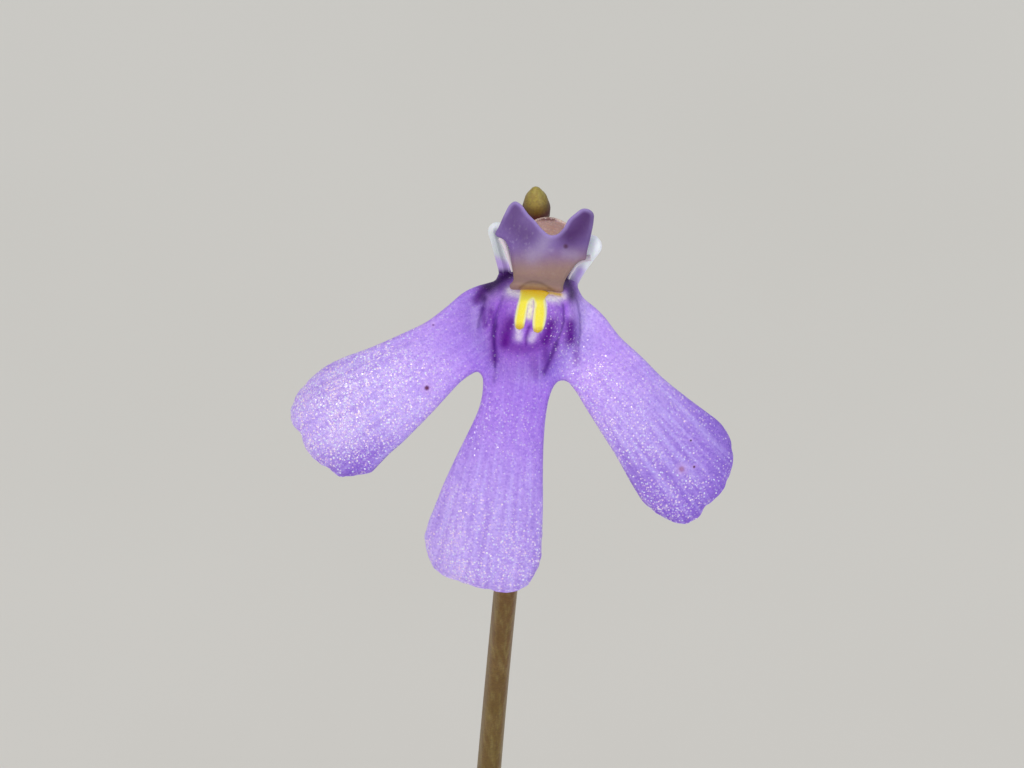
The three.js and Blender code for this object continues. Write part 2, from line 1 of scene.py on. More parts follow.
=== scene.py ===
# %% [markdown]
# # A potted three-fingered bladderwort
#
# The plant is a small terrestrial bladderwort: stolons that creep over wet peat, narrow leaves, bladder traps
# the size of a pinhead, and one stem under a millimetre thick with a violet flower 12 mm wide. The packed
# solids say where everything is and how large it is. This file gives each its finer surface and its finish.

# %% Load the frame
import math

import bpy
import numpy as np
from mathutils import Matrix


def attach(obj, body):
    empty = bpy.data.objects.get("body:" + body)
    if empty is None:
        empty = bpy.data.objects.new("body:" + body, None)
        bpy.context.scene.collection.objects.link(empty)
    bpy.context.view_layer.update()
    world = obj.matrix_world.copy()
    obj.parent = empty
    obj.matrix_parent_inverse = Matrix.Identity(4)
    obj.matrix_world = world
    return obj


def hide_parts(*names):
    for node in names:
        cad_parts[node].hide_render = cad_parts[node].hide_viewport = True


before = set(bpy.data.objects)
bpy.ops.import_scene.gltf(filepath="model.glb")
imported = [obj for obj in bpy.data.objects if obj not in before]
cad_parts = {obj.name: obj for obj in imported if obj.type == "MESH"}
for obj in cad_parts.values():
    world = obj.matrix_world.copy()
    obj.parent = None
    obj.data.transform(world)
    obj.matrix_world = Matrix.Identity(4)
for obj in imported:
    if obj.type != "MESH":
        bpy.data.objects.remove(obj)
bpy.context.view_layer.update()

MM = 0.001
print("nodes to dress:", len(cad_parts))

# %% [markdown]
# ## Surfaces from numpy
#
# Petals, leaves, stems and the pot could be modelled by hand or swept with curve objects. Here each one is a
# function of two numbers, worked out for a whole grid at once: the shape is then the same on every run, its
# thickness is exact, and anything that follows the surface, such as how far along a leaf a point is, is known
# at each point and can steer the material. Lengths are in millimetres until the mesh is made.

# %% Small numbers and colours
def smoothstep(low, high, value):
    """Nought below low, one above high, and a smooth S between."""
    t = np.clip((value - low) / (high - low), 0, 1)
    return t * t * (3 - 2 * t)


def mix(a, b, t):
    """A straight blend from a to b."""
    return a + (b - a) * t


def bell(value, width):
    """A round peak of one at nought that fades over the width."""
    return np.exp(-((value / width) ** 2))


def rounded_end(along, start):
    """One until the start, then down to nearly nought as a quarter circle."""
    past = np.clip((along - start) / (1 - start), 0, 1)
    return np.sqrt(1 - 0.995 * past * past)


def full_turn(count):
    """Evenly spaced angles once round a circle."""
    return 2 * np.pi * np.arange(count) / count


def hex_colour(code):
    """An sRGB hex code as linear red, green, blue and an alpha of one."""
    channels = [int(code[i : i + 2], 16) / 255 for i in (1, 3, 5)]
    return (*[c / 12.92 if c <= 0.04045 else ((c + 0.055) / 1.055) ** 2.4 for c in channels], 1.0)


def seeded_numbers(seed):
    """A repeatable stream of numbers between low and high: a linear congruential generator."""
    state = seed

    def draw(low, high):
        """The next number."""
        nonlocal state
        state = (state * 1664525 + 1013904223) & 0xFFFFFFFF
        return low + (high - low) * state / 4294967296

    return draw


print("violet in linear light:", [round(c, 3) for c in hex_colour("#b397ef")])

# %% Curves
BLEND_STEPS = 40  # points worked out between two corners, before they are spaced evenly


def smooth_curve(corners, count, closed=False):
    """Evenly spaced points on a centripetal Catmull-Rom curve through the corners.

    Between two corners the curve is a blend of blends of the four nearest corners, with knots spaced by the
    square root of the distance, so it neither loops nor overshoots."""
    corners = np.asarray(corners, float)
    if closed:
        ring = np.concatenate([corners[-1:], corners, corners[:2]])
    else:
        ring = np.concatenate([2 * corners[:1] - corners[1:2], corners, 2 * corners[-1:] - corners[-2:-1]])
    p0, p1, p2, p3 = (p[:, None, :] for p in (ring[:-3], ring[1:-2], ring[2:-1], ring[3:]))
    t1 = np.sqrt(np.linalg.norm(p1 - p0, axis=2, keepdims=True))
    t2 = t1 + np.sqrt(np.linalg.norm(p2 - p1, axis=2, keepdims=True))
    t3 = t2 + np.sqrt(np.linalg.norm(p3 - p2, axis=2, keepdims=True))
    t = t1 + (t2 - t1) * np.linspace(0, 1, BLEND_STEPS, endpoint=False)[None, :, None]
    a1 = mix(p0, p1, t / t1)
    a2 = mix(p1, p2, (t - t1) / (t2 - t1))
    a3 = mix(p2, p3, (t - t2) / (t3 - t2))
    b1 = mix(a1, a2, t / t2)
    b2 = mix(a2, a3, (t - t1) / (t3 - t1))
    fine = mix(b1, b2, (t - t1) / (t2 - t1)).reshape(-1, corners.shape[1])
    fine = np.concatenate([fine, corners[:1] if closed else corners[-1:]])
    travelled = np.concatenate([[0], np.cumsum(np.linalg.norm(np.diff(fine, axis=0), axis=1))])
    wanted = np.linspace(0, travelled[-1], count, endpoint=not closed)
    return np.stack([np.interp(wanted, travelled, fine[:, k]) for k in range(fine.shape[1])], 1)


def gap_to(x, y, line):
    """Distance in the plane from points to the nearest of a line's segments."""
    start, along = line[:-1], np.diff(line, axis=0)
    dx, dy = x[:, None] - start[:, 0], y[:, None] - start[:, 1]
    t = np.clip((dx * along[:, 0] + dy * along[:, 1]) / (along**2).sum(axis=1), 0, 1)
    return np.hypot(dx - t * along[:, 0], dy - t * along[:, 1]).min(axis=1)


print("a square's smooth outline:", smooth_curve([[0, 0], [1, 0], [1, 1], [0, 1]], 8, closed=True).shape)

# %% Brush strokes
STROKE_POINTS = 24


def stroke(x, y, corners, width):
    """A soft brush stroke: one on the smooth line through the corners, fading over the width."""
    return bell(gap_to(x, y, smooth_curve(corners, STROKE_POINTS)), width)


def largest(*fields):
    """The largest of several fields, point by point, no more than one."""
    return np.clip(np.maximum.reduce(fields), 0, 1)


def strokes(x, y, lines):
    """The largest of several strokes: each line is a strength, a width and the corners it runs through."""
    return largest(*[strength * stroke(x, y, corners, width) for strength, width, *corners in lines])


print("largest of two strokes' strengths:", largest(np.array([0.3]), np.array([0.7])))

# %% Closed skins
def closed_rings(rings, marks=None):
    """A closed skin through rings of equal count, each end closed by a fan about its ring's middle.

    marks are arrays of one number a point, shaped as the rings are; they travel with the points."""
    rows, columns = rings.shape[:2]
    r, c = np.meshgrid(np.arange(rows - 1), np.arange(columns), indexing="ij")
    near, beside = r * columns + c, r * columns + (c + 1) % columns
    quads = np.stack([near, beside, beside + columns, near + columns], -1).reshape(-1, 4)
    ends = rings[[0, -1]].mean(axis=1)
    points = np.concatenate([rings.reshape(-1, 3), ends])
    around = np.arange(columns)
    last = (rows - 1) * columns
    middle = np.full(columns, rows * columns)
    first_fan = np.stack([(around + 1) % columns, around, middle], 1)
    last_fan = np.stack([last + around, last + (around + 1) % columns, middle + 1], 1)
    shape = {"points": points, "quads": quads, "fans": np.concatenate([first_fan, last_fan])}
    corners = points[shape["quads"]]
    flow = np.cross(corners[:, 2] - corners[:, 0], corners[:, 3] - corners[:, 1]) / 2
    # A skin whose faces point inwards on the whole is turned inside out.
    if np.sum((corners.mean(axis=1) - points.mean(axis=0)) * flow) < 0:
        shape["quads"] = shape["quads"][:, ::-1]
        shape["fans"] = shape["fans"][:, ::-1]
    shape["marks"] = {
        name: np.concatenate([mark.ravel(), mark[[0, -1]].mean(axis=1)])
        for name, mark in (marks or {}).items()
    }
    return shape


def tube(path, radii, side, around=16, ridges=0, ridge_depth=0.0):
    """A round tube along a path, closed at both ends.

    At each point of the path a circle stands across the path's direction; side is a direction that the path
    never takes, and the circle's first spoke lies across it. ridges shallow flutes run along the tube.
    The mark share, on a leaf the distance from its midrib, is nought."""
    run = np.gradient(path, axis=0)
    run /= np.linalg.norm(run, axis=1, keepdims=True)
    spoke = np.cross(run, np.asarray(side, float))
    spoke /= np.linalg.norm(spoke, axis=1, keepdims=True)
    other = np.cross(run, spoke)
    turn = full_turn(around)
    reach = radii[:, None] * (1 + ridge_depth * np.cos(ridges * turn)[None, :])
    rings = (
        path[:, None, :]
        + (reach * np.cos(turn))[..., None] * spoke[:, None, :]
        + (reach * np.sin(turn))[..., None] * other[:, None, :]
    )
    along = np.repeat(np.linspace(0, 1, len(path))[:, None], around, axis=1)
    return closed_rings(rings, {"along": along, "share": np.zeros_like(along)})


def together(shapes):
    """Several skins as one shape with the first one's marks, each one's points counted on from the last."""
    offsets = np.cumsum([0] + [len(s["points"]) for s in shapes[:-1]])
    return {
        "points": np.concatenate([s["points"] for s in shapes]),
        "quads": np.concatenate([s["quads"] + o for s, o in zip(shapes, offsets)]),
        "fans": np.concatenate([s["fans"] + o for s, o in zip(shapes, offsets)]),
        "marks": {m: np.concatenate([s["marks"][m] for s in shapes]) for m in shapes[0]["marks"]},
    }


print("a test tube:", tube(np.linspace([0, 0, 0], [0, 0, 1], 4), np.ones(4), (1, 0, 0))["points"].shape)

# %% Into the scene
def make_piece(name, shape, material, replaces=()):
    """Puts a shape in the scene as one object at the origin, on the root body."""
    mesh = bpy.data.meshes.new(name)
    corners = np.concatenate([shape["quads"].ravel(), shape["fans"].ravel()])
    sizes = np.concatenate([np.full(len(shape["quads"]), 4), np.full(len(shape["fans"]), 3)])
    mesh.vertices.add(len(shape["points"]))
    mesh.vertices.foreach_set("co", (shape["points"] * MM).ravel())
    mesh.loops.add(len(corners))
    mesh.loops.foreach_set("vertex_index", corners.astype(np.int32))
    mesh.polygons.add(len(sizes))
    mesh.polygons.foreach_set("loop_start", (np.cumsum(sizes) - sizes).astype(np.int32))
    mesh.update(calc_edges=True)
    mesh.polygons.foreach_set("use_smooth", np.ones(len(sizes), bool))
    for mark, values in shape["marks"].items():
        mesh.attributes.new(mark, "FLOAT", "POINT").data.foreach_set("value", values.astype(np.float32))
    mesh.materials.append(material)
    piece = bpy.data.objects.new(name, mesh)
    bpy.context.scene.collection.objects.link(piece)
    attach(piece, "root")
    if replaces:
        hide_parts(*replaces)
    triangles = 2 * len(shape["quads"]) + len(shape["fans"])
    size = np.ptp(shape["points"], axis=0)
    print(f"{name}: {triangles} triangles, {size[0]:.1f} x {size[1]:.1f} x {size[2]:.1f} mm")
    return piece


# %% [markdown]
# ## Materials
#
# A node tree could be built by hand in the editor. Written out, every colour, size and roughness stays
# readable. One function adds a node, a second makes a material from what feeds its surface, and a third lays
# colours over one another like glazes. Patterns are laid in the object's own coordinates, which are metres
# here, so a cell of 0.05 mm has a scale of 1 / 0.00005.

# %% A node, a material and a scale
def add(tree, kind, inputs=(), **settings):
    """Adds one shader node and gives it back.

    settings are the node's own properties. inputs fill its sockets, by name or in the order in which the
    editor shows them. Each is a value, a hex colour, the name of one of the surface's marks, a socket, or a
    node, which means its first output."""
    node = tree.nodes.new("ShaderNode" + kind)
    for key, value in settings.items():
        setattr(node, key, value)
    if isinstance(inputs, dict):
        filled = [(node.inputs[key], value) for key, value in inputs.items()]
    else:
        filled = zip([socket for socket in node.inputs if socket.enabled], inputs)
    for socket, value in filled:
        if isinstance(value, str) and not value.startswith("#"):
            value = add(tree, "Attribute", attribute_name=value).outputs["Fac"]
        if isinstance(value, bpy.types.Node):
            value = next(output for output in value.outputs if output.enabled)
        if isinstance(value, bpy.types.NodeSocket):
            tree.links.new(value, socket)
        else:
            socket.default_value = hex_colour(value) if isinstance(value, str) else value
    return node


def finish(name, feed):
    """A material: feed takes its tree and the place on the object, and gives the surface shader's inputs."""
    material = bpy.data.materials.new(name)
    material.use_nodes = True
    tree = material.node_tree
    tree.nodes.clear()
    place = add(tree, "TexCoord").outputs["Object"]
    shader = add(tree, "BsdfPrincipled", feed(tree, place))
    add(tree, "OutputMaterial", {"Surface": shader})
    return material


def painted(tree, base, layers):
    """The base colour with others laid over it, one after another: each layer is a colour and its share."""
    for colour, share in layers:
        base = add(tree, "Mix", [share, base, colour], data_type="RGBA")
    return base


def per_metre(size_mm):
    """The scale that makes one cell or wave of a pattern this many millimetres wide."""
    return 1 / (size_mm * MM)


print("scale of a 0.05 mm cell:", round(per_metre(0.05)))

# %% [markdown]
# ## The petals' skin
#
# Living petal, grown and never cut: one layer of domed cells under a thin film of wax. To the eye it is
# satin, not shiny. The violet lies in the cells, richest where they crowd in the palate's folds, and here and
# there a cell catches the sun like frost. A picture could carry this, but a cell pattern in which each cell
# tilts its own way glitters from every side; the cells that glitter also get a paler colour, a painted glint.
# Marks on the surface say where the violet deepens, and in the folds some of that deepening is painted shade.

# %% Petal skin
CELL, GLINT = 0.055, 0.05  # millimetres: as wide as on real petals, where the glints stand 0.06 to 0.08 apart
DOME_HEIGHT = 0.012
LEAN = 0.7  # how far apart the wax films of two cells may lean, as a share of the normal's length
CLOUD = 0.8  # soft patches of paler cells, a quarter of a lobe wide
# The two tints of the painted glints, the paler colour that shining cells get.
COLD_GLINT_PAINT = ("#ffdcf0", "#dfeaff")


def petal_skin(name, base, roughness, dome=0.5, cloudy=0.25, mottle=0.45, coat=0.06, glint_paint=COLD_GLINT_PAINT):
    """A petal of glistening cells: each cell is a dome, and some shine, partly by a painted glint.

    base takes the tree and the place, and gives the colour before the cells shade it. The piece's glitter
    mark says how many cells shine: such a cell gets a paler colour, a painted glint, and a glossier coat.
    dome is how strongly the cells stand up, cloudy how strongly soft paler clouds lie over the colour, mottle
    how much darker some cells are, coat how glossy, and the last argument the two tints of the painted
    glints."""

    def feed(tree, place):
        cloud = add(tree, "TexNoise", {"Vector": place, "Scale": per_metre(CLOUD), "Detail": 4})
        cells = add(tree, "TexVoronoi", {"Vector": place, "Scale": per_metre(CELL)})
        shade, chance, _ = add(tree, "SeparateColor", [cells.outputs["Color"]]).outputs
        glints = add(tree, "TexVoronoi", {"Vector": place, "Scale": per_metre(GLINT)})
        tint, luck, level = add(tree, "SeparateColor", [glints.outputs["Color"]]).outputs
        # Paler clouds, then each cell darker by a number of its own.
        colour = base(tree, place)
        paler = add(tree, "MapRange", [cloud, 0.35, 0.7, 0, cloudy])
        colour = add(tree, "Mix", [paler, colour, "#e6dcff"], data_type="RGBA", blend_type="SOFT_LIGHT")
        darker = add(tree, "MapRange", [shade, 0, 1, 0, mottle])
        colour = add(tree, "Mix", [darker, colour, "#b9a4e2"], data_type="RGBA", blend_type="MULTIPLY")
        # A cell shines, by a painted glint in its colour and a glossier coat, when its number is lower than
        # the glitter mark, more often where a cloud is.
        crowd = add(tree, "MapRange", [cloud, 0.38, 0.62, 0.5, 1.4])
        limit = add(tree, "Math", ["glitter", crowd], operation="MULTIPLY")
        bright = add(tree, "MapRange", [glints, 0.68, 0.3])
        for factor in (
            add(tree, "Math", [luck, limit], operation="LESS_THAN"),
            add(tree, "MapRange", [level, 0, 1, 0.05, 0.9]),
            add(tree, "MapRange", ["glitter", 0.08, 0.4, 0.2, 1]),
        ):
            bright = add(tree, "Math", [bright, factor], operation="MULTIPLY")
        # A few whole cells shine brighter still: a stronger painted glint and a full coat.
        rare = add(tree, "MapRange", ["glitter", 0.25, 0.8, 0, 0.1])
        rare = add(tree, "Math", [chance, rare], operation="LESS_THAN")
        star = add(tree, "MapRange", [cells, 0.72, 0.4, 0, 0.95])
        star = add(tree, "Math", [star, rare], operation="MULTIPLY")
        bright = add(tree, "Math", [bright, star], operation="MAXIMUM")
        # The colour of the painted glints, between the two tints.
        painted_glint = add(tree, "Mix", [tint, *glint_paint], data_type="RGBA")
        # Each cell is a dome, and its film of wax leans its own way.
        top = add(tree, "MapRange", [cells, 0.5, 0.1])
        bump = add(tree, "Bump", {"Height": top, "Distance": DOME_HEIGHT * MM, "Strength": dome})
        middle = add(tree, "VectorMath", [glints.outputs["Color"], (0.5, 0.5, 0.5)], operation="SUBTRACT")
        tilt = add(tree, "VectorMath", [middle, LEAN], operation="SCALE")
        leaning = add(tree, "VectorMath", [bump, tilt], operation="ADD")
        return {
            # The painted glints are laid over the cells' colour.
            "Base Color": painted(tree, colour, [(painted_glint, bright)]),
            "Roughness": roughness,
            "IOR": 1.4,
            "Specular IOR Level": 0.25,
            "Normal": bump,
            "Subsurface Weight": 0.15,
            "Subsurface Radius": (0.5, 0.3, 0.7),
            "Subsurface Scale": 0.2 * MM,
            "Coat Weight": add(tree, "MapRange", [bright, 0, 0.4, coat, 1]),
            "Coat Roughness": 0.2,
            "Coat IOR": 1.5,
            "Coat Normal": add(tree, "VectorMath", [leaning], operation="NORMALIZE"),
        }

    return finish(name, feed)


print("cells across a 3 mm lobe:", round(3 / CELL))

# %% [markdown]
# ## The flower's frame
#
# The flower faces up and forwards. Its outlines are easiest to give face on, so it has a frame of its own,
# with the throat at its origin, y up its face and z out of it. One function turns that frame to the room.

# %% The flower's frame
THROAT = np.array([0.0, -8.0, 136.0])
FACES_UP = math.radians(50)


def in_room(points):
    """Face-on points turned to the room: up the face leans back, out of the face points up and forwards."""
    x, y, z = np.moveaxis(np.asarray(points, float), -1, 0)
    up, out = math.sin(FACES_UP), math.cos(FACES_UP)
    return THROAT + np.stack([x, y * up - z * out, y * out + z * up], -1)


def placed(shape):
    """A face-on shape moved to the room."""
    shape["points"] = in_room(shape["points"])
    return shape


print("the throat's front:", in_room([0, 0, 1]).round(2))

# %% [markdown]
# ## Camera, floor and light
#
# The view looks down on the flower at 50 degrees, square to its face, from about 30 cm with a long lens. The
# light is that of a bright hazy day: one broad soft light high on the left, a weaker one on the right and a
# pale sky. The lights are hidden from the camera so that no view can catch them.

# %% Camera
CAMERA_DISTANCE = 300.0
FRAME_WIDTH = 27.9
FRAME_MIDDLE = (-0.654, -2.561, 0.0)
SENSOR = 36.0


def look(obj, spot, target):
    """Puts an object at a spot in millimetres with its -Z towards the target and its Y upwards."""
    spot, target = np.asarray(spot, float), np.asarray(target, float)
    back = (spot - target) / np.linalg.norm(spot - target)
    right = np.cross((0.0, 0.0, 1.0), back)
    right /= np.linalg.norm(right)
    turn = np.stack([right, np.cross(back, right), back], 1)
    matrix = np.eye(4)
    matrix[:3, :3], matrix[:3, 3] = turn, spot * MM
    obj.matrix_world = matrix.T.tolist()
    bpy.context.scene.collection.objects.link(obj)


camera_data = bpy.data.cameras.new("camera")
camera_data.sensor_width = SENSOR
camera_data.lens = SENSOR * CAMERA_DISTANCE / FRAME_WIDTH
camera_data.clip_start = 0.01
camera_data.clip_end = 50
camera = bpy.data.objects.new("camera", camera_data)
aim = in_room(FRAME_MIDDLE)
eye = aim + CAMERA_DISTANCE * np.array([0.0, -math.cos(FACES_UP), math.sin(FACES_UP)])
look(camera, eye, aim)
bpy.context.scene.camera = camera
print("lens:", round(camera_data.lens), "mm, eye at", eye.round(0), "mm")

# %% Floor and light
def paper(tree, place):
    """Matt backing paper, rolled: nothing to the eye but a soft grey, with clouds 40 mm wide."""
    grain = add(tree, "TexNoise", {"Vector": place, "Scale": per_metre(40), "Detail": 4})
    return {"Base Color": painted(tree, "#d9d6cf", [("#cfccc4", grain)]), "Roughness": 0.8}


HALF_FLOOR = 3.0  # metres
floor_mesh = bpy.data.meshes.new("floor")
floor_corners = [(a * HALF_FLOOR, b * HALF_FLOOR, 0) for a, b in ((-1, -1), (1, -1), (1, 1), (-1, 1))]
floor_mesh.from_pydata(floor_corners, [], [(0, 1, 2, 3)])
floor_mesh.materials.append(finish("matt backing paper", paper))
floor = bpy.data.objects.new("floor", floor_mesh)
bpy.context.scene.collection.objects.link(floor)

# Each light's place and width are in millimetres, its power in watts.
for light_name, spot, width, power, tone in (
    ("key_light", (-420, -420, 720), 260, 3.7, (1.0, 0.98, 0.94)),
    ("fill_light", (600, -350, 420), 500, 2.2, (0.93, 0.96, 1.0)),
    ("back_light", (100, 620, 420), 400, 1.1, (1.0, 1.0, 1.0)),
):
    light = bpy.data.lights.new(light_name, "AREA")
    light.size = width * MM
    light.energy = power
    light.color = tone
    lamp = bpy.data.objects.new(light_name, light)
    look(lamp, spot, (0, 0, 90))
    lamp.visible_camera = False

world = bpy.data.worlds.new("hazy sky")
world.use_nodes = True
world.node_tree.nodes["Background"].inputs["Color"].default_value = hex_colour("#e8edf5")
world.node_tree.nodes["Background"].inputs["Strength"].default_value = 0.44
bpy.context.scene.world = world
bpy.context.scene.view_settings.view_transform = "Standard"

# %% [markdown]
# ## The lower lip
#
# On the real flower this is one petal: three long lobes like fingers, and in their middle the palate, a
# swelling that shuts the throat. It could be three petals and a lump pushed together, but seams would show
# where none are. So it is one sheet: rays run from the middle of the palate to the outline, and a height
# stands over each point. The back is a second sheet close behind, and the two meet in a rounded rim.

# %% Outline of the lower lip
LEFT_LOBE = [
    (-1.3, 0.2), (-1.637, 0.1), (-1.97, -0.066), (-2.471, -0.483), (-2.971, -0.859), (-3.472, -1.109),
    (-4.473, -1.551), (-5.307, -1.86), (-5.724, -2.068), (-6.141, -2.402), (-6.475, -2.777), (-6.7, -3.278),
    (-6.641, -3.653), (-6.391, -3.987), (-6.308, -4.279), (-6.057, -4.612), (-5.724, -4.821),
    (-5.39, -5.071), (-5.057, -5.071), (-4.473, -4.946), (-4.097, -4.55), (-3.639, -4.153), (-3.305, -3.82),
    (-2.638, -3.153), (-2.221, -2.652), (-1.804, -2.318), (-1.595, -2.228), (-1.47, -2.35),
]
MIDDLE_LOBE = [
    (-1.445, -2.6), (-1.512, -3.069), (-1.762, -3.736), (-2.137, -4.404), (-2.471, -5.154), (-2.805, -5.988),
    (-3.0, -6.5), (-3.03, -6.948), (-2.888, -7.406), (-2.638, -7.74), (-2.221, -7.907), (-1.804, -8.057),
    (-1.303, -8.174), (-0.844, -8.257), (-0.386, -8.157), (-0.052, -7.78), (0.115, -7.35), (0.157, -6.739),
    (0.182, -5.905), (0.182, -5.071), (0.198, -4.237), (0.265, -3.403), (0.365, -2.902), (0.49, -2.61),
    (0.62, -2.485), (0.824, -2.485),
]
RIGHT_LOBE = [
    (1.032, -2.694), (1.366, -3.236), (1.783, -3.903), (2.2, -4.571), (2.617, -5.321), (2.951, -5.822),
    (3.201, -6.03), (3.535, -6.239), (3.868, -6.381), (4.202, -6.339), (4.452, -6.197), (4.577, -5.947),
    (4.953, -5.655), (5.161, -5.321), (5.328, -4.904), (5.37, -4.571), (5.286, -4.07), (5.036, -3.653),
    (4.619, -3.319), (4.118, -2.944), (3.451, -2.402), (2.867, -1.818), (2.283, -1.276), (1.866, -0.734),
    (1.616, -0.483), (1.283, -0.2),
]
SHOULDERS = [
    (1.15, 0.05), (1.08, 0.22), (0.9, 0.28), (0.68, 0.18), (0.45, 0.08), (0.1, 0.12), (-0.4, 0.2),
    (-0.66, 0.46), (-0.85, 0.55), (-1.0, 0.47), (-1.11, 0.27),
]
RAY_CENTRE = (-0.06, -0.28)
RAYS = 620
FRAY = 0.009  # depth of the notches in a lobe's end


def frayed(outline, depth):
    """The outline with the small uneven notches of a lobe's end.

    Each point moves across the outline by three waves of different length, more the further out it is."""
    step = np.roll(outline, -1, axis=0) - np.roll(outline, 1, axis=0)
    across = np.stack([step[:, 1], -step[:, 0]], 1) / np.linalg.norm(step, axis=1, keepdims=True)
    turn = full_turn(len(outline))
    wave = np.sin(61 * turn) + 0.8 * np.sin(97 * turn + 1.3) + 0.6 * np.sin(149 * turn + 4.0)
    far = smoothstep(5.5, 7.2, np.linalg.norm(outline - RAY_CENTRE, axis=1))
    return outline + across * (depth * wave * far)[:, None]


def seen_from(centre, outline):
    """The outline nudged so that its heading from the centre never turns back: then no two rays cross."""
    away = outline - centre
    heading = np.unwrap(np.arctan2(away[:, 1], away[:, 0]))
    rising = np.maximum.accumulate(heading)
    falling = np.minimum.accumulate(heading[::-1])[::-1]
    even = heading[0] + full_turn(len(heading))
    heading = mix((rising + falling) / 2, even, 0.001)  # a thousandth of an even turn keeps them apart
    reach = np.linalg.norm(away, axis=1)
    return centre + np.stack([reach * np.cos(heading), reach * np.sin(heading)], 1)


lip_outline = smooth_curve(LEFT_LOBE + MIDDLE_LOBE + RIGHT_LOBE + SHOULDERS, RAYS, closed=True)
lip_outline = seen_from(RAY_CENTRE, frayed(lip_outline, FRAY))
print("lower lip:", np.ptp(lip_outline, axis=0).round(2), "mm")

# %% Height of the three lobes
LOBES = [
    {"foot": (-0.9, -0.9), "heading": 214.5, "length": 6.7},
    {"foot": (-0.45, -1.6), "heading": 264.0, "length": 6.7},
    {"foot": (0.9, -1.2), "heading": 309.7, "length": 6.5},
]
SINUS_HEADINGS = (237.5, 287)
SINUS_BLEND = 6


def lobe_place(lobe, x, y):
    """How far along and across a lobe's middle line a point is: a share of its length, and millimetres."""
    turn = math.radians(lobe["heading"])
    dx, dy = x - lobe["foot"][0], y - lobe["foot"][1]
    along = (dx * math.cos(turn) + dy * math.sin(turn)) / lobe["length"]
    return along, dy * math.cos(turn) - dx * math.sin(turn)


def by_lobe(x, y, values):
    """One value for each lobe, blended across the two gaps by the direction from the palate's middle."""
    heading = (np.degrees(np.arctan2(y - RAY_CENTRE[1], x - RAY_CENTRE[0])) - 70) % 360 + 70
    past = [smoothstep(sinus - SINUS_BLEND, sinus + SINUS_BLEND, heading) for sinus in SINUS_HEADINGS]
    return mix(mix(values[0], values[1], past[0]), values[2], past[1])


def lobe_height(lobe, x, y):
    """Crowned across its middle line, arched along it, its tip bent back, with a faint buckle."""
    along, across = lobe_place(lobe, x, y)
    arch = 0.35 * np.sin(np.pi * np.clip(along, 0, 1))
    buckle = 0.035 * np.sin(2.6 * across + 1.0) * np.sin(2 * np.pi * np.clip(along, 0, 1))
    return arch - 0.75 * smoothstep(0.45, 1.15, along) - 0.13 * across**2 + buckle


def lobes_height(x, y):
    """The three lobes together; both shoulders turn back to the throat."""
    return by_lobe(x, y, [lobe_height(lobe, x, y) for lobe in LOBES]) - 0.4 * smoothstep(0.0, 0.5, y)


def vein_wave(x, y):
    """Fine ribs that fan out along each lobe: waves in the angle seen from a point behind the lobe's foot."""
    ribs = []
    for lobe in LOBES:
        along, across = lobe_place(lobe, x, y)
        angle = np.arctan2(across, along * lobe["length"] + 3.2)
        ribs.append(np.cos(52 * angle + 0.6 * np.sin(3 * along + lobe["heading"])))
    return by_lobe(x, y, ribs)


print("height half way down the middle lobe:", lobes_height(-1.0, -5.0).round(3))

# %% Height of the palate
# Each fold is a line down the palate: heights up the flower's face, and where the line is across it.
FOLDS = {
    "outer_left": ([-1.6, -1.2, -0.8, -0.4, -0.1, 0.3], [-1.62, -1.6, -1.54, -1.42, -1.38, -1.2]),
    "left": ([-2.9, -2.2, -1.6, -1.2, -0.75, -0.4, -0.1, 0.3],
             [-1.2, -1.11, -1.13, -1.15, -1.08, -0.97, -0.86, -0.66]),
    "right": ([-2.9, -2.2, -1.95, -1.6, -1.2, -0.9, -0.6, -0.3, 0.2],
              [0.12, 0.24, 0.35, 0.5, 0.66, 0.75, 0.76, 0.72, 0.62]),
    "outer_right": ([-2.2, -1.9, -1.2, -0.8, -0.4, -0.1, 0.2], [1.02, 1.1, 1.2, 1.2, 1.14, 1.06, 0.98]),
}


def fold_line(name, y):
    """Where a fold is across the face, at a height up it."""
    return np.interp(y, *FOLDS[name])


def pillow(x, left, right):
    """A round swelling between two lines, nought on and outside them."""
    t = np.clip((x - left) / (right - left), 0, 1)
    return (4 * t * (1 - t)) ** 1.2


def broad_palate(x, y):
    """The palate without its folds: a dome, steep at its top, fading down the middle lobe."""
    middle = -0.08 + 0.14 * y
    half = mix(0.85, 1.38, smoothstep(-2.6, -0.8, y))
    rise = smoothstep(-2.9, -0.9, y) * (1 - 0.85 * smoothstep(-0.36, 0.16, y))
    return rise * (1 - smoothstep(0.45, 1.15, np.abs(x - middle) / half))


def palate_height(x, y):
    """The dome, with a pair of swellings in its middle and a lower one to either side of them."""
    left, right = fold_line("left", y), fold_line("right", y)
    top = 1 - 0.85 * smoothstep(-0.36, 0.16, y)
    middle = smoothstep(-2.6, -1.0, y) * top * pillow(x, left, right)
    trough = 0.07 * bell(x + 0.17 + 0.03 * y, 0.12) * smoothstep(-1.9, -1.0, y) * smoothstep(-0.1, -0.6, y)
    side_top = 1 - 0.85 * smoothstep(-0.2, 0.25, y)
    outer = smoothstep(-1.9, -0.9, y) * side_top * pillow(x, fold_line("outer_left", y), left)
    inner = smoothstep(-2.2, -1.1, y) * side_top * pillow(x, right, fold_line("outer_right", y))
    return 0.76 * broad_palate(x, y) + 0.38 * middle - trough + 0.2 * outer + 0.22 * inner


print("palate's crest:", palate_height(-0.1, -0.7).round(2), "mm")

# %% The lower lip's sheet
PETAL_THICKNESS = 0.24
ROUND_RIM = 0.13  # how far in from the outline a petal reaches its full thickness


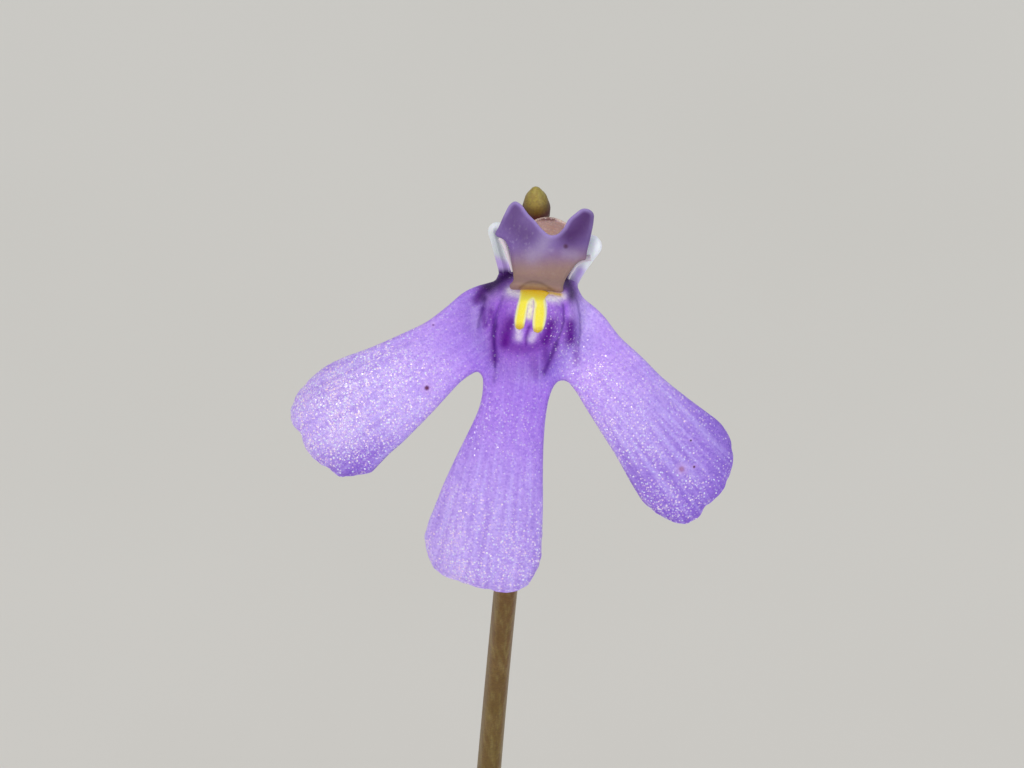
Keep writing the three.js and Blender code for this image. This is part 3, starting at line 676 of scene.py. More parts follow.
def fan_sheet(outline, centre, front_steps, back_steps, front, back, dense=math.inf):
    """A thin closed sheet over a flat outline.

    Rays run from the centre to the outline. A step t from nought to one lies on each ray at a share
    near t + (1 - near) t^3 of its length, so that the first few millimetres, dense, get most of the rows.
    front and back give the height at x, y and the distance to the outline; they meet at the outline."""
    near = np.minimum(dense / np.linalg.norm(outline - centre, axis=1), 1)
    rim = np.concatenate([outline, outline[:1]])

    def rows(steps, height):
        """One side's points, row by row, and their distances to the outline."""
        share = near * steps[:, None] + (1 - near) * steps[:, None] ** 3
        x = centre[0] + (outline[:, 0] - centre[0]) * share
        y = centre[1] + (outline[:, 1] - centre[1]) * share
        gap = np.stack([gap_to(row_x, row_y, rim) for row_x, row_y in zip(x, y)])
        return np.stack([x, y, height(x, y, gap)], -1), gap

    over, over_gap = rows(front_steps, front)
    under, under_gap = rows(back_steps[::-1], back)
    return closed_rings(np.concatenate([over, under]), {"gap": np.concatenate([over_gap, under_gap])})


def steps_to_rim(count):
    """Even steps from near nought to one, closer beside the rounded rim."""
    return np.concatenate([np.linspace(0, 1, count + 1)[1:-1] * 0.965, [0.97, 0.98, 0.99, 0.996, 1.0]])


def swell(gap, width):
    """Nought at a rim, rising as a quarter circle to one at a width from it."""
    t = np.clip(gap / width, 0, 1)
    return np.sqrt(t * (2 - t))


def lip_middle(x, y, gap):
    """Half way through the sheet: the lobes, their edge curled back a little."""
    curl = 0.08 * smoothstep(0.5, 0, gap) * smoothstep(2.5, 4.5, np.hypot(x, y))
    return lobes_height(x, y) - PETAL_THICKNESS / 2 - curl


def lip_front(x, y, gap):
    """The front of the sheet, rounded at its rim, with the palate and the fine ribs on it."""
    relief = 0.008 * vein_wave(x, y) * smoothstep(1.6, 3.0, np.hypot(x, y)) * smoothstep(0, 0.3, gap)
    return lip_middle(x, y, gap) + PETAL_THICKNESS / 2 * swell(gap, ROUND_RIM) + palate_height(x, y) + relief


def lip_back(x, y, gap):
    """The back, which follows the palate only beside the rim, where the two have to meet."""
    at_rim = palate_height(x, y) * smoothstep(0.5, 0, gap)
    return lip_middle(x, y, gap) - PETAL_THICKNESS / 2 * swell(gap, ROUND_RIM) + at_rim


lower_lip = fan_sheet(
    lip_outline, RAY_CENTRE, steps_to_rim(110), steps_to_rim(30), lip_front, lip_back, dense=2.6
)
print("lower lip points:", len(lower_lip["points"]))

# %% [markdown]
# The violet deepens in the palate's folds, beside the yellow mark and on both shoulders; in the folds and
# beside the shoulders part of that darkening is painted shade and painted shadow. The edge of the palate's
# crest and the ends of the yellow mark are white, and the lobes carry painted light and shade. Each of these
# is a mark on the sheet, a number from nought to one found from where the point is. Soft strokes of a brush
# give most of them: their lines and widths are in millimetres on the flower's face.

# %% Marks on the lower lip
FRECKLES = [  # place on the flower's face, radius, colour, strength
    ((-2.97, -2.67), 0.06, "#66264a", 0.95),
    ((-2.8, -0.95), 0.03, "#6a3f8a", 0.7),
    ((4.22, -4.1), 0.025, "#2c1a30", 0.95),
    ((4.31, -4.82), 0.03, "#5d2a3c", 0.95),
    ((3.97, -4.88), 0.07, "#a0607c", 0.6),
]


def along_fold(name, low, high):
    """Nine points along one of the palate's folds, between two heights."""
    up = np.linspace(low, high, 9)
    return np.stack([fold_line(name, up), up], 1)


x, y, z = lower_lip["points"].T
tips = [lobe_place(lobe, x, y) for lobe in LOBES]
(left_along, left_across), (middle_along, middle_across), (right_along, right_across) = tips
from_palate = np.hypot(x - RAY_CENTRE[0], y + 0.9)
lower_lip["marks"].update({
    "palate": 0.85 * np.clip(1.3 * broad_palate(x, np.minimum(y, -0.45)), 0, 1),
    "crest": 0.8 * strokes(x, y, [
        (1.0, 0.2, (-1.3, -0.22), (-1.0, -0.15), (-0.7, -0.22)),
        (1.0, 0.14, (0.45, -0.34), (0.62, -0.34), (0.75, -0.25)),
        (0.6, 0.1, (-0.62, -0.3), (-0.72, -0.6)),
        (0.6, 0.12, (0.52, -0.4), (0.55, -0.9)),
        (0.5, 0.08, (1.0, -0.5), (1.06, -0.7)),
    ]),
    # Dark violet along the palate's folds, partly painted shade in the creases.
    "fold_colour_and_shade": largest(
        smoothstep(-0.4, -1.0, y) * strokes(x, y, [(0.7, 0.045, *along_fold("left", -2.1, -0.75))]),
        strokes(x, y, [
            (0.35, 0.05, *along_fold("left", -1.0, -0.2)),
            (0.3, 0.05, *along_fold("left", -2.5, -2.0)),
            (0.6, 0.03, *along_fold("right", -1.4, -0.4)),
            (0.5, 0.05, *along_fold("right", -2.3, -1.3)),
            (0.5, 0.05, *along_fold("outer_left", -1.0, -0.2)),
            (0.45, 0.035, *along_fold("outer_right", -1.5, -0.3)),
        ]),
    ),
    # Deep violet beside the yellow mark and down the palate, with painted shadow beside the left shoulder and
    # along the outer right fold.
    "deep_violet_and_shade": strokes(x, y, [
        (1.0, 0.22, (-0.68, -0.9), (-0.78, -1.12), (-0.84, -1.45)),
        (0.85, 0.12, *along_fold("left", -1.9, -1.0)),
        (0.72, 0.11, (-1.43, -0.52), (-1.42, -0.75), (-1.36, -0.95)),
        (0.72, 0.14, (-1.22, -0.6), (-1.2, -0.85), (-1.14, -1.0)),
        (1.0, 0.19, (0.4, -0.92), (0.33, -1.2), (0.24, -1.4)),
        (0.6, 0.15, (0.24, -1.4), (0.28, -1.95)),
        (0.7, 0.11, *along_fold("right", -2.2, -1.5)),
        (1.0, 0.2, (0.93, -0.95), (0.94, -1.35)),
        (0.85, 0.06, (-0.19, -1.0), (-0.24, -1.2), (-0.27, -1.5)),
        (0.6, 0.2, (-0.7, -1.55), (-0.3, -1.6), (0.1, -1.5)),
        (0.35, 0.15, (-0.1, -1.7), (0.0, -2.3)),
        (0.5, 0.11, (1.08, -1.4), (1.1, -1.95)),
        # Painted shadow of the left shoulder, beside the outer-left fold.
        (0.85, 0.14, (-1.35, 0.06), (-1.5, -0.04), (-1.62, -0.28)),
        (0.4, 0.08, (-0.95, 0.03), (-0.7, 0.08)),
    ]),
    # Dark violet on both shoulders; its tail down the left side, beside the outer-left fold, is painted
    # shadow.
    "shoulder": strokes(x, y, [
        (1.0, 0.24, (-0.7, 0.45), (-0.9, 0.34), (-1.1, 0.2), (-1.3, 0.08)),
        (0.75, 0.17, (-1.3, 0.08), (-1.43, -0.05), (-1.45, -0.2)),
        (0.9, 0.2, (0.86, 0.2), (0.95, 0.02), (0.97, -0.16)),
    ]),
    "gold": strokes(x, y, [(0.9, 0.06, (0.2, -0.07), (0.45, -0.09), (0.66, -0.13))]),
    "cream": strokes(x, y, [(1.0, 0.125, (-0.12, -0.25), (-0.16, -0.5), (-0.18, -0.7))]),
    "white": strokes(x, y, [
        (1.0, 0.13, (-0.7, -0.04), (-0.56, -0.08), (-0.42, -0.14)),
        (1.0, 0.11, (0.32, -0.22), (0.45, -0.24), (0.58, -0.22), (0.72, -0.17)),
        (0.5, 0.06, (0.5, -0.2), (0.62, -0.36)),
        (0.65, 0.11, (-0.46, -1.1), (-0.47, -1.3)),
        (0.65, 0.1, (-0.05, -1.2), (-0.13, -1.34)),
        (0.85, 0.045, (-0.38, -0.12), (-0.46, -0.35), (-0.54, -0.75), (-0.52, -1.1)),
        (0.8, 0.04, (0.25, -0.18), (0.27, -0.45), (0.22, -0.85), (0.12, -1.12)),
    ]),
})
print("marks made by strokes:", sorted(lower_lip["marks"]))

# %% Marks along the lobes
# light is the pale lilac of the lobes, partly painted light and shade: the left lobe paler as if it faced the
# sun, the middle lobe darker, each lobe's flanks darker as on a lit, crowned lobe. blush is a redder violet
# near the palate. lane and reach are the place across and along a lobe, in which the streaks lie. glitter
# says how many cells shine with a painted glint.
lower_lip["marks"].update({
    "light": by_lobe(x, y, [
        0.93
        - 0.33 * smoothstep(0.1, 1.3, left_across)
        - 0.12 * smoothstep(-0.5, -1.3, left_across)
        - 0.33 * smoothstep(0, 0.8, left_across) * smoothstep(0.55, 0.85, left_along)
        - 0.6 * smoothstep(3.0, 1.4, from_palate)
        - 0.3 * smoothstep(-3.8, -4.5, y),
        0.34
        + 0.36 * smoothstep(0.1, 0.7, middle_along)
        - 0.05 * smoothstep(0.85, 1.0, middle_along)
        - 0.22 * smoothstep(0.2, 1.2, middle_across)
        + 0.16 * smoothstep(-0.4, -1.2, middle_across) * smoothstep(0.4, 0.7, middle_along),
        0.96
        - 0.64 * smoothstep(0.2, 0.85, right_along)
        - 0.32 * smoothstep(0.77, 0.92, right_along)
        - 0.22 * smoothstep(-0.5, -1.1, right_across)
        - 0.22 * smoothstep(0.2, 1.3, right_across) * smoothstep(0.05, 0.35, right_along)
        - 0.5 * smoothstep(1.95, 1.25, from_palate) * smoothstep(-0.9, -1.4, y),
    ])
    - 0.16 * stroke(x, y, [(0.6, -2.0), (0.75, -2.3)], 0.5)
    - 0.13 * stroke(x, y, [(-1.5, -1.7), (-1.7, -2.2)], 0.35)
    + 0.25 * stroke(x, y, [(-1.64, -0.5), (-1.62, -0.9)], 0.14),
    "blush": smoothstep(1.3, 2.0, from_palate) * by_lobe(x, y, [
        0.3 * smoothstep(0.6, 0.2, left_along),
        0.34 * smoothstep(0.75, 0.2, middle_along),
        0.3 * smoothstep(0.5, 0.15, right_along),
    ]),
    "lane": by_lobe(x, y, [
        10 * np.arctan2(across, along * lobe["length"] + 5.0) for lobe, (along, across) in zip(LOBES, tips)
    ]),
    "reach": by_lobe(x, y, [0.06 * along * lobe["length"] for lobe, (along, _) in zip(LOBES, tips)]),
    "streaky": by_lobe(x, y, [
        0.3 + 0.25 * smoothstep(0.2, 0.7, left_along),
        0.3 + 0.35 * smoothstep(0.2, 0.7, middle_along),
        0.35 + 0.65 * smoothstep(0.15, 0.55, right_along),
    ]),
    "glitter": 0.1 + by_lobe(x, y, [
        0.1 * smoothstep(1.4, 2.6, from_palate)
        + 0.6 * smoothstep(0.2, 0.7, left_along) * smoothstep(1.6, 0.2, left_across),
        0.12 * smoothstep(1.4, 2.4, from_palate) + 0.28 * smoothstep(0.5, 0.9, middle_along),
        0.16 * smoothstep(1.6, 2.2, from_palate) + 0.16 * smoothstep(0.6, -0.2, right_across),
    ]),
})
upper_side = smoothstep(-0.02, 0.02, z - lip_middle(x, y, lower_lip["marks"]["gap"]))
lower_lip["marks"]["glitter"] *= mix(0.45, 1, upper_side) * (1 - 0.85 * lower_lip["marks"]["shoulder"])
for (freckle_x, freckle_y), radius, _, _ in FRECKLES:
    away = np.hypot(x - freckle_x, y - freckle_y)
    lower_lip["marks"]["glitter"] *= smoothstep(1.5 * radius, 1.5 * radius + 0.12, away)
print("marks:", sorted(lower_lip["marks"]))

# %% The lower lip's skin
def lip_colour(tree, place):
    """Lilac lobes with painted light and shade and fine darker streaks, violet palate and folds with painted
    crease shade, dark shoulders with a painted shadow, white edges, freckles.

    The streaks are a noise in lane, the angle across a lobe, and reach, the way along it, shortened 16 times:
    a streak is 0.2 mm wide and 3 mm long, as in the photo."""
    along_lobe = add(tree, "CombineXYZ", ["lane", "reach"])
    streaks = add(tree, "TexNoise", {"Vector": along_lobe, "Scale": 6, "Detail": 1})
    dark = add(tree, "MapRange", [streaks, 0.48, 0.74, 0, 0.5])
    # Painted light and shade lie in the pale lilac, painted crease shade and shadow in the darkest violets.
    layers = [
        ("#d5bbff", "light"),
        ("#8a62d0", add(tree, "Math", [dark, "streaky"], operation="MULTIPLY")),
        ("#cfc2ff", add(tree, "MapRange", [streaks, 0.5, 0.3, 0, 0.4])),
        ("#b468f4", "blush"),
        ("#a35edc", "palate"),
        ("#bb8de6", "crest"),
        ("#640a92", "deep_violet_and_shade"),
        ("#42107a", "fold_colour_and_shade"),
        ("#360650", "shoulder"),
        ("#f6ecf6", "white"),
        ("#faf3cf", "cream"),
        ("#ffd736", "gold"),
    ]
    for (fx, fy), radius, colour, strength in FRECKLES:
        spot = in_room((fx, fy, float(lobes_height(fx, fy)))) * MM
        gap = add(tree, "VectorMath", [place, tuple(spot)], operation="DISTANCE")
        inner, middle, outer = 0.6 * radius * MM, 1.5 * radius * MM, 3.5 * radius * MM
        layers.append(("#d9b4ea", add(tree, "MapRange", [gap, outer, middle, 0, 0.35])))
        layers.append((colour, add(tree, "MapRange", [gap, middle, inner, 0, strength])))
    return painted(tree, "#9570d6", layers)


lower_lip_skin = petal_skin("violet petal with painted glints on its cells", lip_colour, 0.42, dome=0.6)
make_piece("lower_lip", placed(lower_lip), lower_lip_skin, ["corolla"])

# %% [markdown]
# ## The upper lip
#
# A small petal with two blunt points, rolled forward at its foot and leaning back over the throat. The same
# living tissue as the lower lip, but with flat cells: to the eye smooth, dusky and a little glassy, violet at
# the points with a pale lilac edge, and the colour of tea at the foot. Where the rolled edge catches the
# light, the pale edge is partly a painted highlight, and a painted sheen lies below the notch. It is a sheet
# over an outline too.

# %% Outline of the upper lip
UPPER_OUTLINE = [
    (-0.68, 0.02), (-0.45, -0.08), (0.1, -0.16), (0.5, -0.17), (0.74, -0.1), (0.74, 0.1), (0.82, 0.32),
    (0.975, 0.55), (1.106, 0.72), (1.25, 0.8), (1.35, 0.83), (1.4, 1.08), (1.504, 1.512), (1.575, 1.9),
    (1.569, 2.09), (1.45, 2.2), (1.272, 2.221), (1.074, 2.09), (0.875, 1.907), (0.744, 1.676), (0.578, 1.52),
    (0.381, 1.5), (0.183, 1.643), (-0.016, 1.875), (-0.213, 2.074), (-0.411, 2.34), (-0.578, 2.42),
    (-0.708, 2.338), (-0.845, 2.106), (-1.008, 1.744), (-1.115, 1.52), (-1.04, 1.44), (-0.9, 1.4),
    (-0.741, 1.147), (-0.676, 0.752), (-0.62, 0.4), (-0.62, 0.26), (-0.72, 0.12),
]
UPPER_CENTRE = (0.3, 0.85)
UPPER_FRECKLE = (0.81, 1.19)
UPPER_HALF = 0.1  # half its thickness
upper_outline = seen_from(UPPER_CENTRE, smooth_curve(UPPER_OUTLINE, 260, closed=True))
print("upper lip:", np.ptp(upper_outline, axis=0).round(2), "mm")

# %% The upper lip's sheet
def upper_height(x, y):
    """Rolled forward at its foot, leaning back to its two points, its sides turned back."""
    middle = 0.08 + 0.17 * y
    roll = 0.2 * bell(y - 0.12 + 0.09 * (x - 0.1), 0.17)
    notch = 0.05 * bell(x - 0.42, 0.35) * smoothstep(0.9, 1.5, y)
    return 0.3 + roll - 0.14 * y - 0.17 * (x - middle) ** 2 - notch


def upper_front(x, y, gap):
    """The front, rounded at its rim, with a hair-fine bead just inside it."""
    return upper_height(x, y) - UPPER_HALF + UPPER_HALF * swell(gap, 0.16) + 0.008 * bell(gap - 0.08, 0.05)


def upper_back(x, y, gap):
    """The back, rounded at its rim."""
    return upper_height(x, y) - UPPER_HALF - UPPER_HALF * swell(gap, 0.1)


upper_lip = fan_sheet(
    upper_outline, UPPER_CENTRE, steps_to_rim(44), steps_to_rim(12), upper_front, upper_back
)
print("upper lip points:", len(upper_lip["points"]))

# %% Marks on the upper lip
x, y, z = upper_lip["points"].T
upper_lip["marks"].update({
    "tea": smoothstep(1.28, 0.45, y - 0.05 * x),
    "point": strokes(x, y, [
        (0.65, 0.36, (-0.6, 2.2), (-0.6, 1.8), (-0.3, 1.5)),
        (1.0, 0.38, (1.4, 2.05), (1.15, 1.65), (0.95, 1.5)),
    ]),
    # Pale lilac rim, partly a painted highlight where the rolled edge catches the light.
    "rim": 0.85 * smoothstep(0.14, 0.02, upper_lip["marks"]["gap"]) * largest(
        0.35 * smoothstep(1.3, 1.8, y),
        strokes(x, y, [
            (1.0, 0.3, (-0.8, 2.2), (-0.58, 2.42), (-0.2, 2.1), (0.3, 1.5)),
            (1.0, 0.3, (0.45, 1.5), (0.8, 1.8), (1.1, 2.1), (1.35, 2.2)),
        ]),
    ),
    # Painted sheen: pale soft patches below the notch.
    "sheen": strokes(x, y, [
        (0.45, 0.22, (0.3, 1.45), (0.15, 1.15), (-0.1, 0.95)),
        (0.35, 0.08, (0.02, 1.22), (0.18, 1.16), (0.42, 1.08)),
        (0.3, 0.08, (0.2, 1.4), (0.36, 1.25)),
        (0.3, 0.14, (0.8, 1.0), (1.05, 0.95)),
    ]),
    "lens": smoothstep(0.15, 0.09, np.hypot(0.27 * (x - 0.03), y + 0.1 * x - 0.06)),
    # The brown line along the fold of the roll, partly painted crease shade.
    "fold_colour_and_shade": strokes(x, y, [(0.6, 0.035, (-0.45, 0.05), (-0.2, 0.21), (0.12, 0.19), (0.5, -0.05))]),
})
print("marks:", sorted(upper_lip["marks"]))

# %% The upper lip's skin
def upper_colour(tree, place):
    """Dusky violet, darker at the points, tea-coloured at the foot, with a pale edge that is partly a painted
    highlight, a painted sheen and one freckle.
    """
    spot = in_room((*UPPER_FRECKLE, float(upper_height(*UPPER_FRECKLE)))) * MM
    gap = add(tree, "VectorMath", [place, tuple(spot)], operation="DISTANCE")
    return painted(tree, "#7f64a2", [
        ("#523069", "point"),
        ("#997b70", "tea"),
        ("#b0a2bc", "sheen"),
        ("#94775c", "lens"),
        ("#6e5240", "fold_colour_and_shade"),
        ("#a993cf", "rim"),
        ("#4d2742", add(tree, "MapRange", [gap, 0.09 * MM, 0.03 * MM, 0, 0.8])),
    ])


upper_lip_skin = petal_skin(
    "dusky violet petal, smooth", upper_colour, 0.5, dome=0.06, cloudy=0.15, mottle=0.12, coat=0.1
)
make_piece("upper_lip", placed(upper_lip), upper_lip_skin, ["corolla"])

# %% [markdown]
# ## The throat's white collar
#
# Behind the upper lip the tube of the flower opens in a fleshy collar, whose two ends stand up beside the
# upper lip as rounded wings. It is petal again, but thick and without pigment: white and waxy to the eye,
# with painted shade grey in its hollow and dark deep in the throat. It could be a bent ring with a bevel, but
# the wings are not the same height, so the wall is carried round the throat, section by section, and each
# section has a round bead on top.

# %% Lines of the collar
COLLAR_SIDE = 95.0
LEFT_WING = [
    (-0.85, 1.8), (-1.02, 1.86), (-1.17, 1.84), (-1.28, 1.74), (-1.31, 1.58), (-1.26, 1.4), (-1.19, 1.15),
    (-1.12, 0.9), (-1.06, 0.68), (-1.02, 0.5), (-1.03, 0.3), (-1.05, 0.1), (-0.85, -0.1), (-0.55, 0.0),
    (-0.5, 0.6), (-0.55, 1.2), (-0.68, 1.6),
]
RIGHT_WING = [
    (1.05, 1.3), (0.8, 0.8), (0.65, 0.3), (0.75, -0.1), (1.0, -0.2), (1.08, 0.0), (1.17, 0.2),
    (1.28, 0.4), (1.42, 0.6), (1.57, 0.8), (1.68, 0.95), (1.78, 1.1), (1.8, 1.25), (1.73, 1.4),
    (1.62, 1.49), (1.5, 1.52), (1.3, 1.56),
]
LEFT_BEAD = [(-0.96, 1.44), (-0.84, 1.2), (-0.76, 0.95), (-0.7, 0.75), (-0.64, 0.5)]
RIGHT_BEAD = [(1.5, 0.88), (1.3, 0.84), (1.13, 0.73), (1.02, 0.59), (0.93, 0.43), (0.88, 0.3)]
WING_LEVEL, BEAD_LEVEL = -0.64, -0.45
WING_RAYS, BEAD_RINGS = 140, 30
WALL_FOOT, BACK_TOP, LEFT_TOP, RIGHT_TOP = -0.25, 1.15, 1.7, 1.36
print("the wings stand", LEFT_TOP, "and", RIGHT_TOP, "mm above the throat")

# %% Wall, wings and beads
def collar_rings(rows, columns):
    """The wall's sections, from the left wing round the back to the right wing.

    A section is a narrow upright oval with a bead at its top; its height grows towards both wings, and the
    circle it stands on flares out with height."""
    share = np.linspace(0, 1, rows)[:, None]
    turn = np.radians(mix(-COLLAR_SIDE, COLLAR_SIDE, share))
    near_wing = np.abs(2 * share - 1) ** 2
    top = mix(BACK_TOP, mix(LEFT_TOP, RIGHT_TOP, share), near_wing)
    close = np.sqrt(np.clip(1 - np.abs(2 * share - 1) ** 30, 0, 1))
    around = full_turn(columns)[None, :]
    level = (1 - np.cos(around)) / 2
    up = mix(WALL_FOOT, top, level)
    depth = (0.12 + 0.11 * bell(level - 0.92, 0.1)) * np.sin(around) * close
    flare = smoothstep(0.25, 1.5, up)
    across = mix(0.95, 1.38, flare) + depth
    along = mix(0.6, 0.8, flare) + depth
    return np.stack([mix(0.1, 0.26, flare) + across * np.sin(turn), up, -1.0 - along * np.cos(turn)], -1)


def wing_front(x, y, gap):
    """A fleshy flap with a rounded edge: the left one a little hollow, the right one full."""
    full = smoothstep(-0.2, 0.2, x)
    hollow = (0.04 * bell(gap - 0.13, 0.08) - 0.03 * smoothstep(0.1, 0.6, gap)) * (1 - full)
    return WING_LEVEL + 0.17 * swell(gap, mix(0.16, 0.34, full)) + hollow


def wing_back(x, y, gap):
    """The back of a wing: fuller than its front, and round."""
    return WING_LEVEL - 0.32 * swell(gap, 0.3)


def wing(outline, centre):
    """One wing: a closed sheet over its outline."""
    outline = seen_from(centre, smooth_curve(outline, WING_RAYS, closed=True))
    return fan_sheet(outline, centre, steps_to_rim(20), steps_to_rim(10), wing_front, wing_back)


def bead(corners):
    """A thin swollen edge along a line, tapering downwards."""
    line = smooth_curve(np.array([(*corner, BEAD_LEVEL) for corner in corners]), BEAD_RINGS)
    return tube(line, mix(0.085, 0.04, np.linspace(0, 1, BEAD_RINGS)), (0, 0, 1), 12)


flesh = [wing(LEFT_WING, (-0.85, 0.9)), wing(RIGHT_WING, (1.2, 0.8)), closed_rings(collar_rings(120, 40))]
beads = [bead(LEFT_BEAD), bead(RIGHT_BEAD)]
for shapes, edge in ((flesh, 0.0), (beads, 1.0)):
    for shape in shapes:
        shape["marks"] = {"edge": np.full(len(shape["points"]), edge)}
collar = together([*flesh, *beads])
print("collar points:", len(collar["points"]))

# %% The collar's marks and colour
x, y, z = collar["points"].T
right = smoothstep(-0.2, 0.2, x)
collar["marks"].update({
    "lilac": largest(
        (1 - right) * smoothstep(1.0, 0.75, y + 0.45 * (x + 1.0)),
        right * strokes(x, y, [(1.0, 0.16, (1.2, 0.5), (1.08, 0.2), (1.05, -0.1))]),
        0.9 * smoothstep(-0.95, -1.2, z),
    ),
    "dark": largest(
        (1 - right) * smoothstep(0.66, 0.46, y),
        strokes(x, y, [(0.9, 0.19, (0.84, 0.24), (0.95, -0.1))]),
        # Painted shade: dark low at the back of the wall, deep in the throat.
        0.7 * smoothstep(-0.9, -1.2, z) * smoothstep(0.7, 0.3, y),
    ),
    # Painted glints, a few, low on the collar.
    "glitter": 0.05 * smoothstep(0.9, 0.6, y),
    # Painted shade: grey in the left wing's hollow.
    "shade": strokes(x, y, [(0.75, 0.15, (-1.1, 1.55), (-1.04, 1.2), (-0.97, 0.85))]),
})


def collar_colour(tree, place):
    """White, through lilac to dark violet where the wall runs into the shoulders, painted shade grey in the
    left wing's hollow and dark low at the back of the wall; a pinkish inner edge.
    """
    layers = [("#a9b0b4", "shade"), ("#bda2e2", "lilac"), ("#3f1263", "dark"), ("#efe2e8", "edge")]
    return painted(tree, "#f5f8fc", layers)


collar_skin = petal_skin("white fleshy petal edge", collar_colour, 0.35, dome=0.1, cloudy=0, mottle=0.04)
make_piece("collar_wings", placed(collar), collar_skin, ["corolla_collar"])

# %% [markdown]
# ## The yellow mark
#
# Two swollen arms on the palate's crest, joined at the top. Here the petal's cells stand up as short blunt
# hairs, so it looks like velvet: matt, deep yellow, paler at its edge. Paint on the lower lip would have soft
# ends, so the mark is a thin pad: one curve runs round its outside, another round its inside, straight lines
# cross from one to the other, and the pad follows the palate under it.

# %% Outline of the yellow mark
MARK_OUTSIDE = [
    (-0.44, -1.09), (-0.55, -1.04), (-0.585, -0.85), (-0.55, -0.6), (-0.48, -0.3), (-0.44, -0.1),
    (-0.4, 0.04), (-0.1, 0.05), (0.2, 0.0), (0.35, -0.08), (0.26, -0.2), (0.27, -0.35), (0.29, -0.55),
    (0.27, -0.8), (0.18, -1.09), (0.05, -1.18),
]
MARK_INSIDE = [
    (-0.44, -1.09), (-0.34, -1.03), (-0.29, -0.85), (-0.25, -0.6), (-0.2, -0.4), (-0.15, -0.3),
    (-0.12, -0.27), (-0.09, -0.26), (-0.06, -0.29), (-0.05, -0.36), (-0.05, -0.48), (-0.08, -0.7),
    (-0.1, -0.95), (-0.06, -1.13), (0.05, -1.18),
]
print("corners outside and inside:", len(MARK_OUTSIDE), len(MARK_INSIDE))

# %% The yellow mark's pad
def mark_pad(rows, columns):
    """A pad between two curves: over it a round crown, under it a flat seat sunk in the palate."""
    outside, inside = smooth_curve(MARK_OUTSIDE, rows), smooth_curve(MARK_INSIDE, rows)
    across = np.linspace(0, 1, columns)
    flat = mix(outside[1:-1, None, :], inside[1:-1, None, :], across[None, :, None])
    ground = lip_front(flat[..., 0], flat[..., 1], 1.0)
    crown = np.sqrt(np.clip(4 * across * (1 - across), 0, 1))
    over = np.concatenate([flat, (ground + 0.004 + 0.04 * crown)[..., None]], -1)
    under = np.concatenate([flat, (ground - 0.04 * crown)[..., None]], -1)[:, -2:0:-1]
    edge = 2 * np.minimum(across, 1 - across)
    edge = np.concatenate([edge, edge[-2:0:-1]])[None, :] * np.ones((rows - 2, 1))
    return closed_rings(np.concatenate([over, under], axis=1), {"edge": edge})


mark = mark_pad(150, 22)
x, y, z = mark["points"].T
mark["marks"]["crest"] = smoothstep(-0.3, 0.06, y + 0.22 * (x + 0.2))
mark["marks"]["end"] = 0.9 * np.where(x < -0.2, smoothstep(-0.84, -1.06, y), smoothstep(-0.95, -1.16, y))
print("marks:", sorted(mark["marks"]))

# %% Velvet
HAIR = 0.045  # millimetres across one blunt hair, about twice its real width, so that it shows


def velvet(tree, place):
    """Deep yellow on the crest, a cream border below it, ochre ends; each hair's tip is a little paler."""
    border = add(tree, "MapRange", ["edge", 0.1, 0.5, 0.9, 0])
    below = add(tree, "Math", [1, "crest"], operation="SUBTRACT")
    hairs = add(tree, "TexVoronoi", {"Vector": place, "Scale": per_metre(HAIR)})
    layers = [
        ("#ffc400", "crest"),
        ("#f7f2cc", add(tree, "Math", [border, below], operation="MULTIPLY")),
        ("#cda42a", "end"),
        ("#fff6a0", add(tree, "MapRange", [hairs, 0.1, 0.6, 0.2, 0])),
    ]
    return {
        "Base Color": painted(tree, "#fdea48", layers),
        "Roughness": 0.7,
        "IOR": 1.3,
        "Normal": add(tree, "Bump", {"Height": hairs, "Distance": 0.02 * MM, "Strength": 0.5}, invert=True),
        "Subsurface Weight": 0.2,
        "Subsurface Radius": (0.6, 0.5, 0.1),
        "Subsurface Scale": 0.2 * MM,
    }


make_piece("yellow_mark", placed(mark), finish("yellow velvet petal", velvet), ["palate_spot"])

# %% [markdown]
# ## Throat and spur
#
# Behind the lips the petals join in a short tube, and from its floor a blunt spur hangs behind the middle
# lobe, where the nectar is. A profile turned about an axis would be straight, and these bend, so both are
# tubes along a path; the spur's radius falls to a rounded end.

# %% Throat and spur
THROAT_RINGS, SPUR_RINGS = 30, 60
throat_line = [
    (0.1, -0.36, -0.2), (0.1, -0.33, -1.0), (0.12, -0.2, -1.7), (0.13, -0.05, -2.3), (0.14, 0.02, -2.8)
]
throat_radii = mix(0.72, 0.36, np.linspace(0, 1, THROAT_RINGS) ** 1.1)
throat = tube(smooth_curve(throat_line, THROAT_RINGS), throat_radii, (1, 0, 0), 32)
spur_line = [(0.08, -0.05, -1.45), (-0.08, -1.3, -1.9), (-0.28, -2.8, -2.15), (-0.5, -4.4, -2.05)]
spur_along = np.linspace(0, 1, SPUR_RINGS)
spur_radii = mix(0.66, 0.4, spur_along) * rounded_end(spur_along, 0.92)
spur = tube(smooth_curve(spur_line, SPUR_RINGS), spur_radii, (1, 0, 0), 32, ridges=6, ridge_depth=0.02)
# A fleshy bar lies across the throat's floor, between the two sides of the collar.
floor_share = np.linspace(-1, 1, 40)
floor_line = np.array([0.1, -0.12, -1.14]) + np.outer(floor_share, [0.98, 0.0, 0.1])
throat_floor = tube(floor_line, 0.53 * np.sqrt(1 - 0.995 * floor_share**4), (0, 1, 0), 32)
throat_floor["marks"]["along"] *= 0


def spur_colour(tree, place):
    """Pale violet, greener and paler towards the spur's tip."""
    return painted(tree, "#b79be2", [("#c3b3cf", "along")])


spur_skin = petal_skin("pale violet petal tube", spur_colour, 0.4, dome=0.3, mottle=0.2)
tubes = together([throat, spur, throat_floor])
make_piece("throat_and_spur", placed(tubes), spur_skin, ["corolla"])

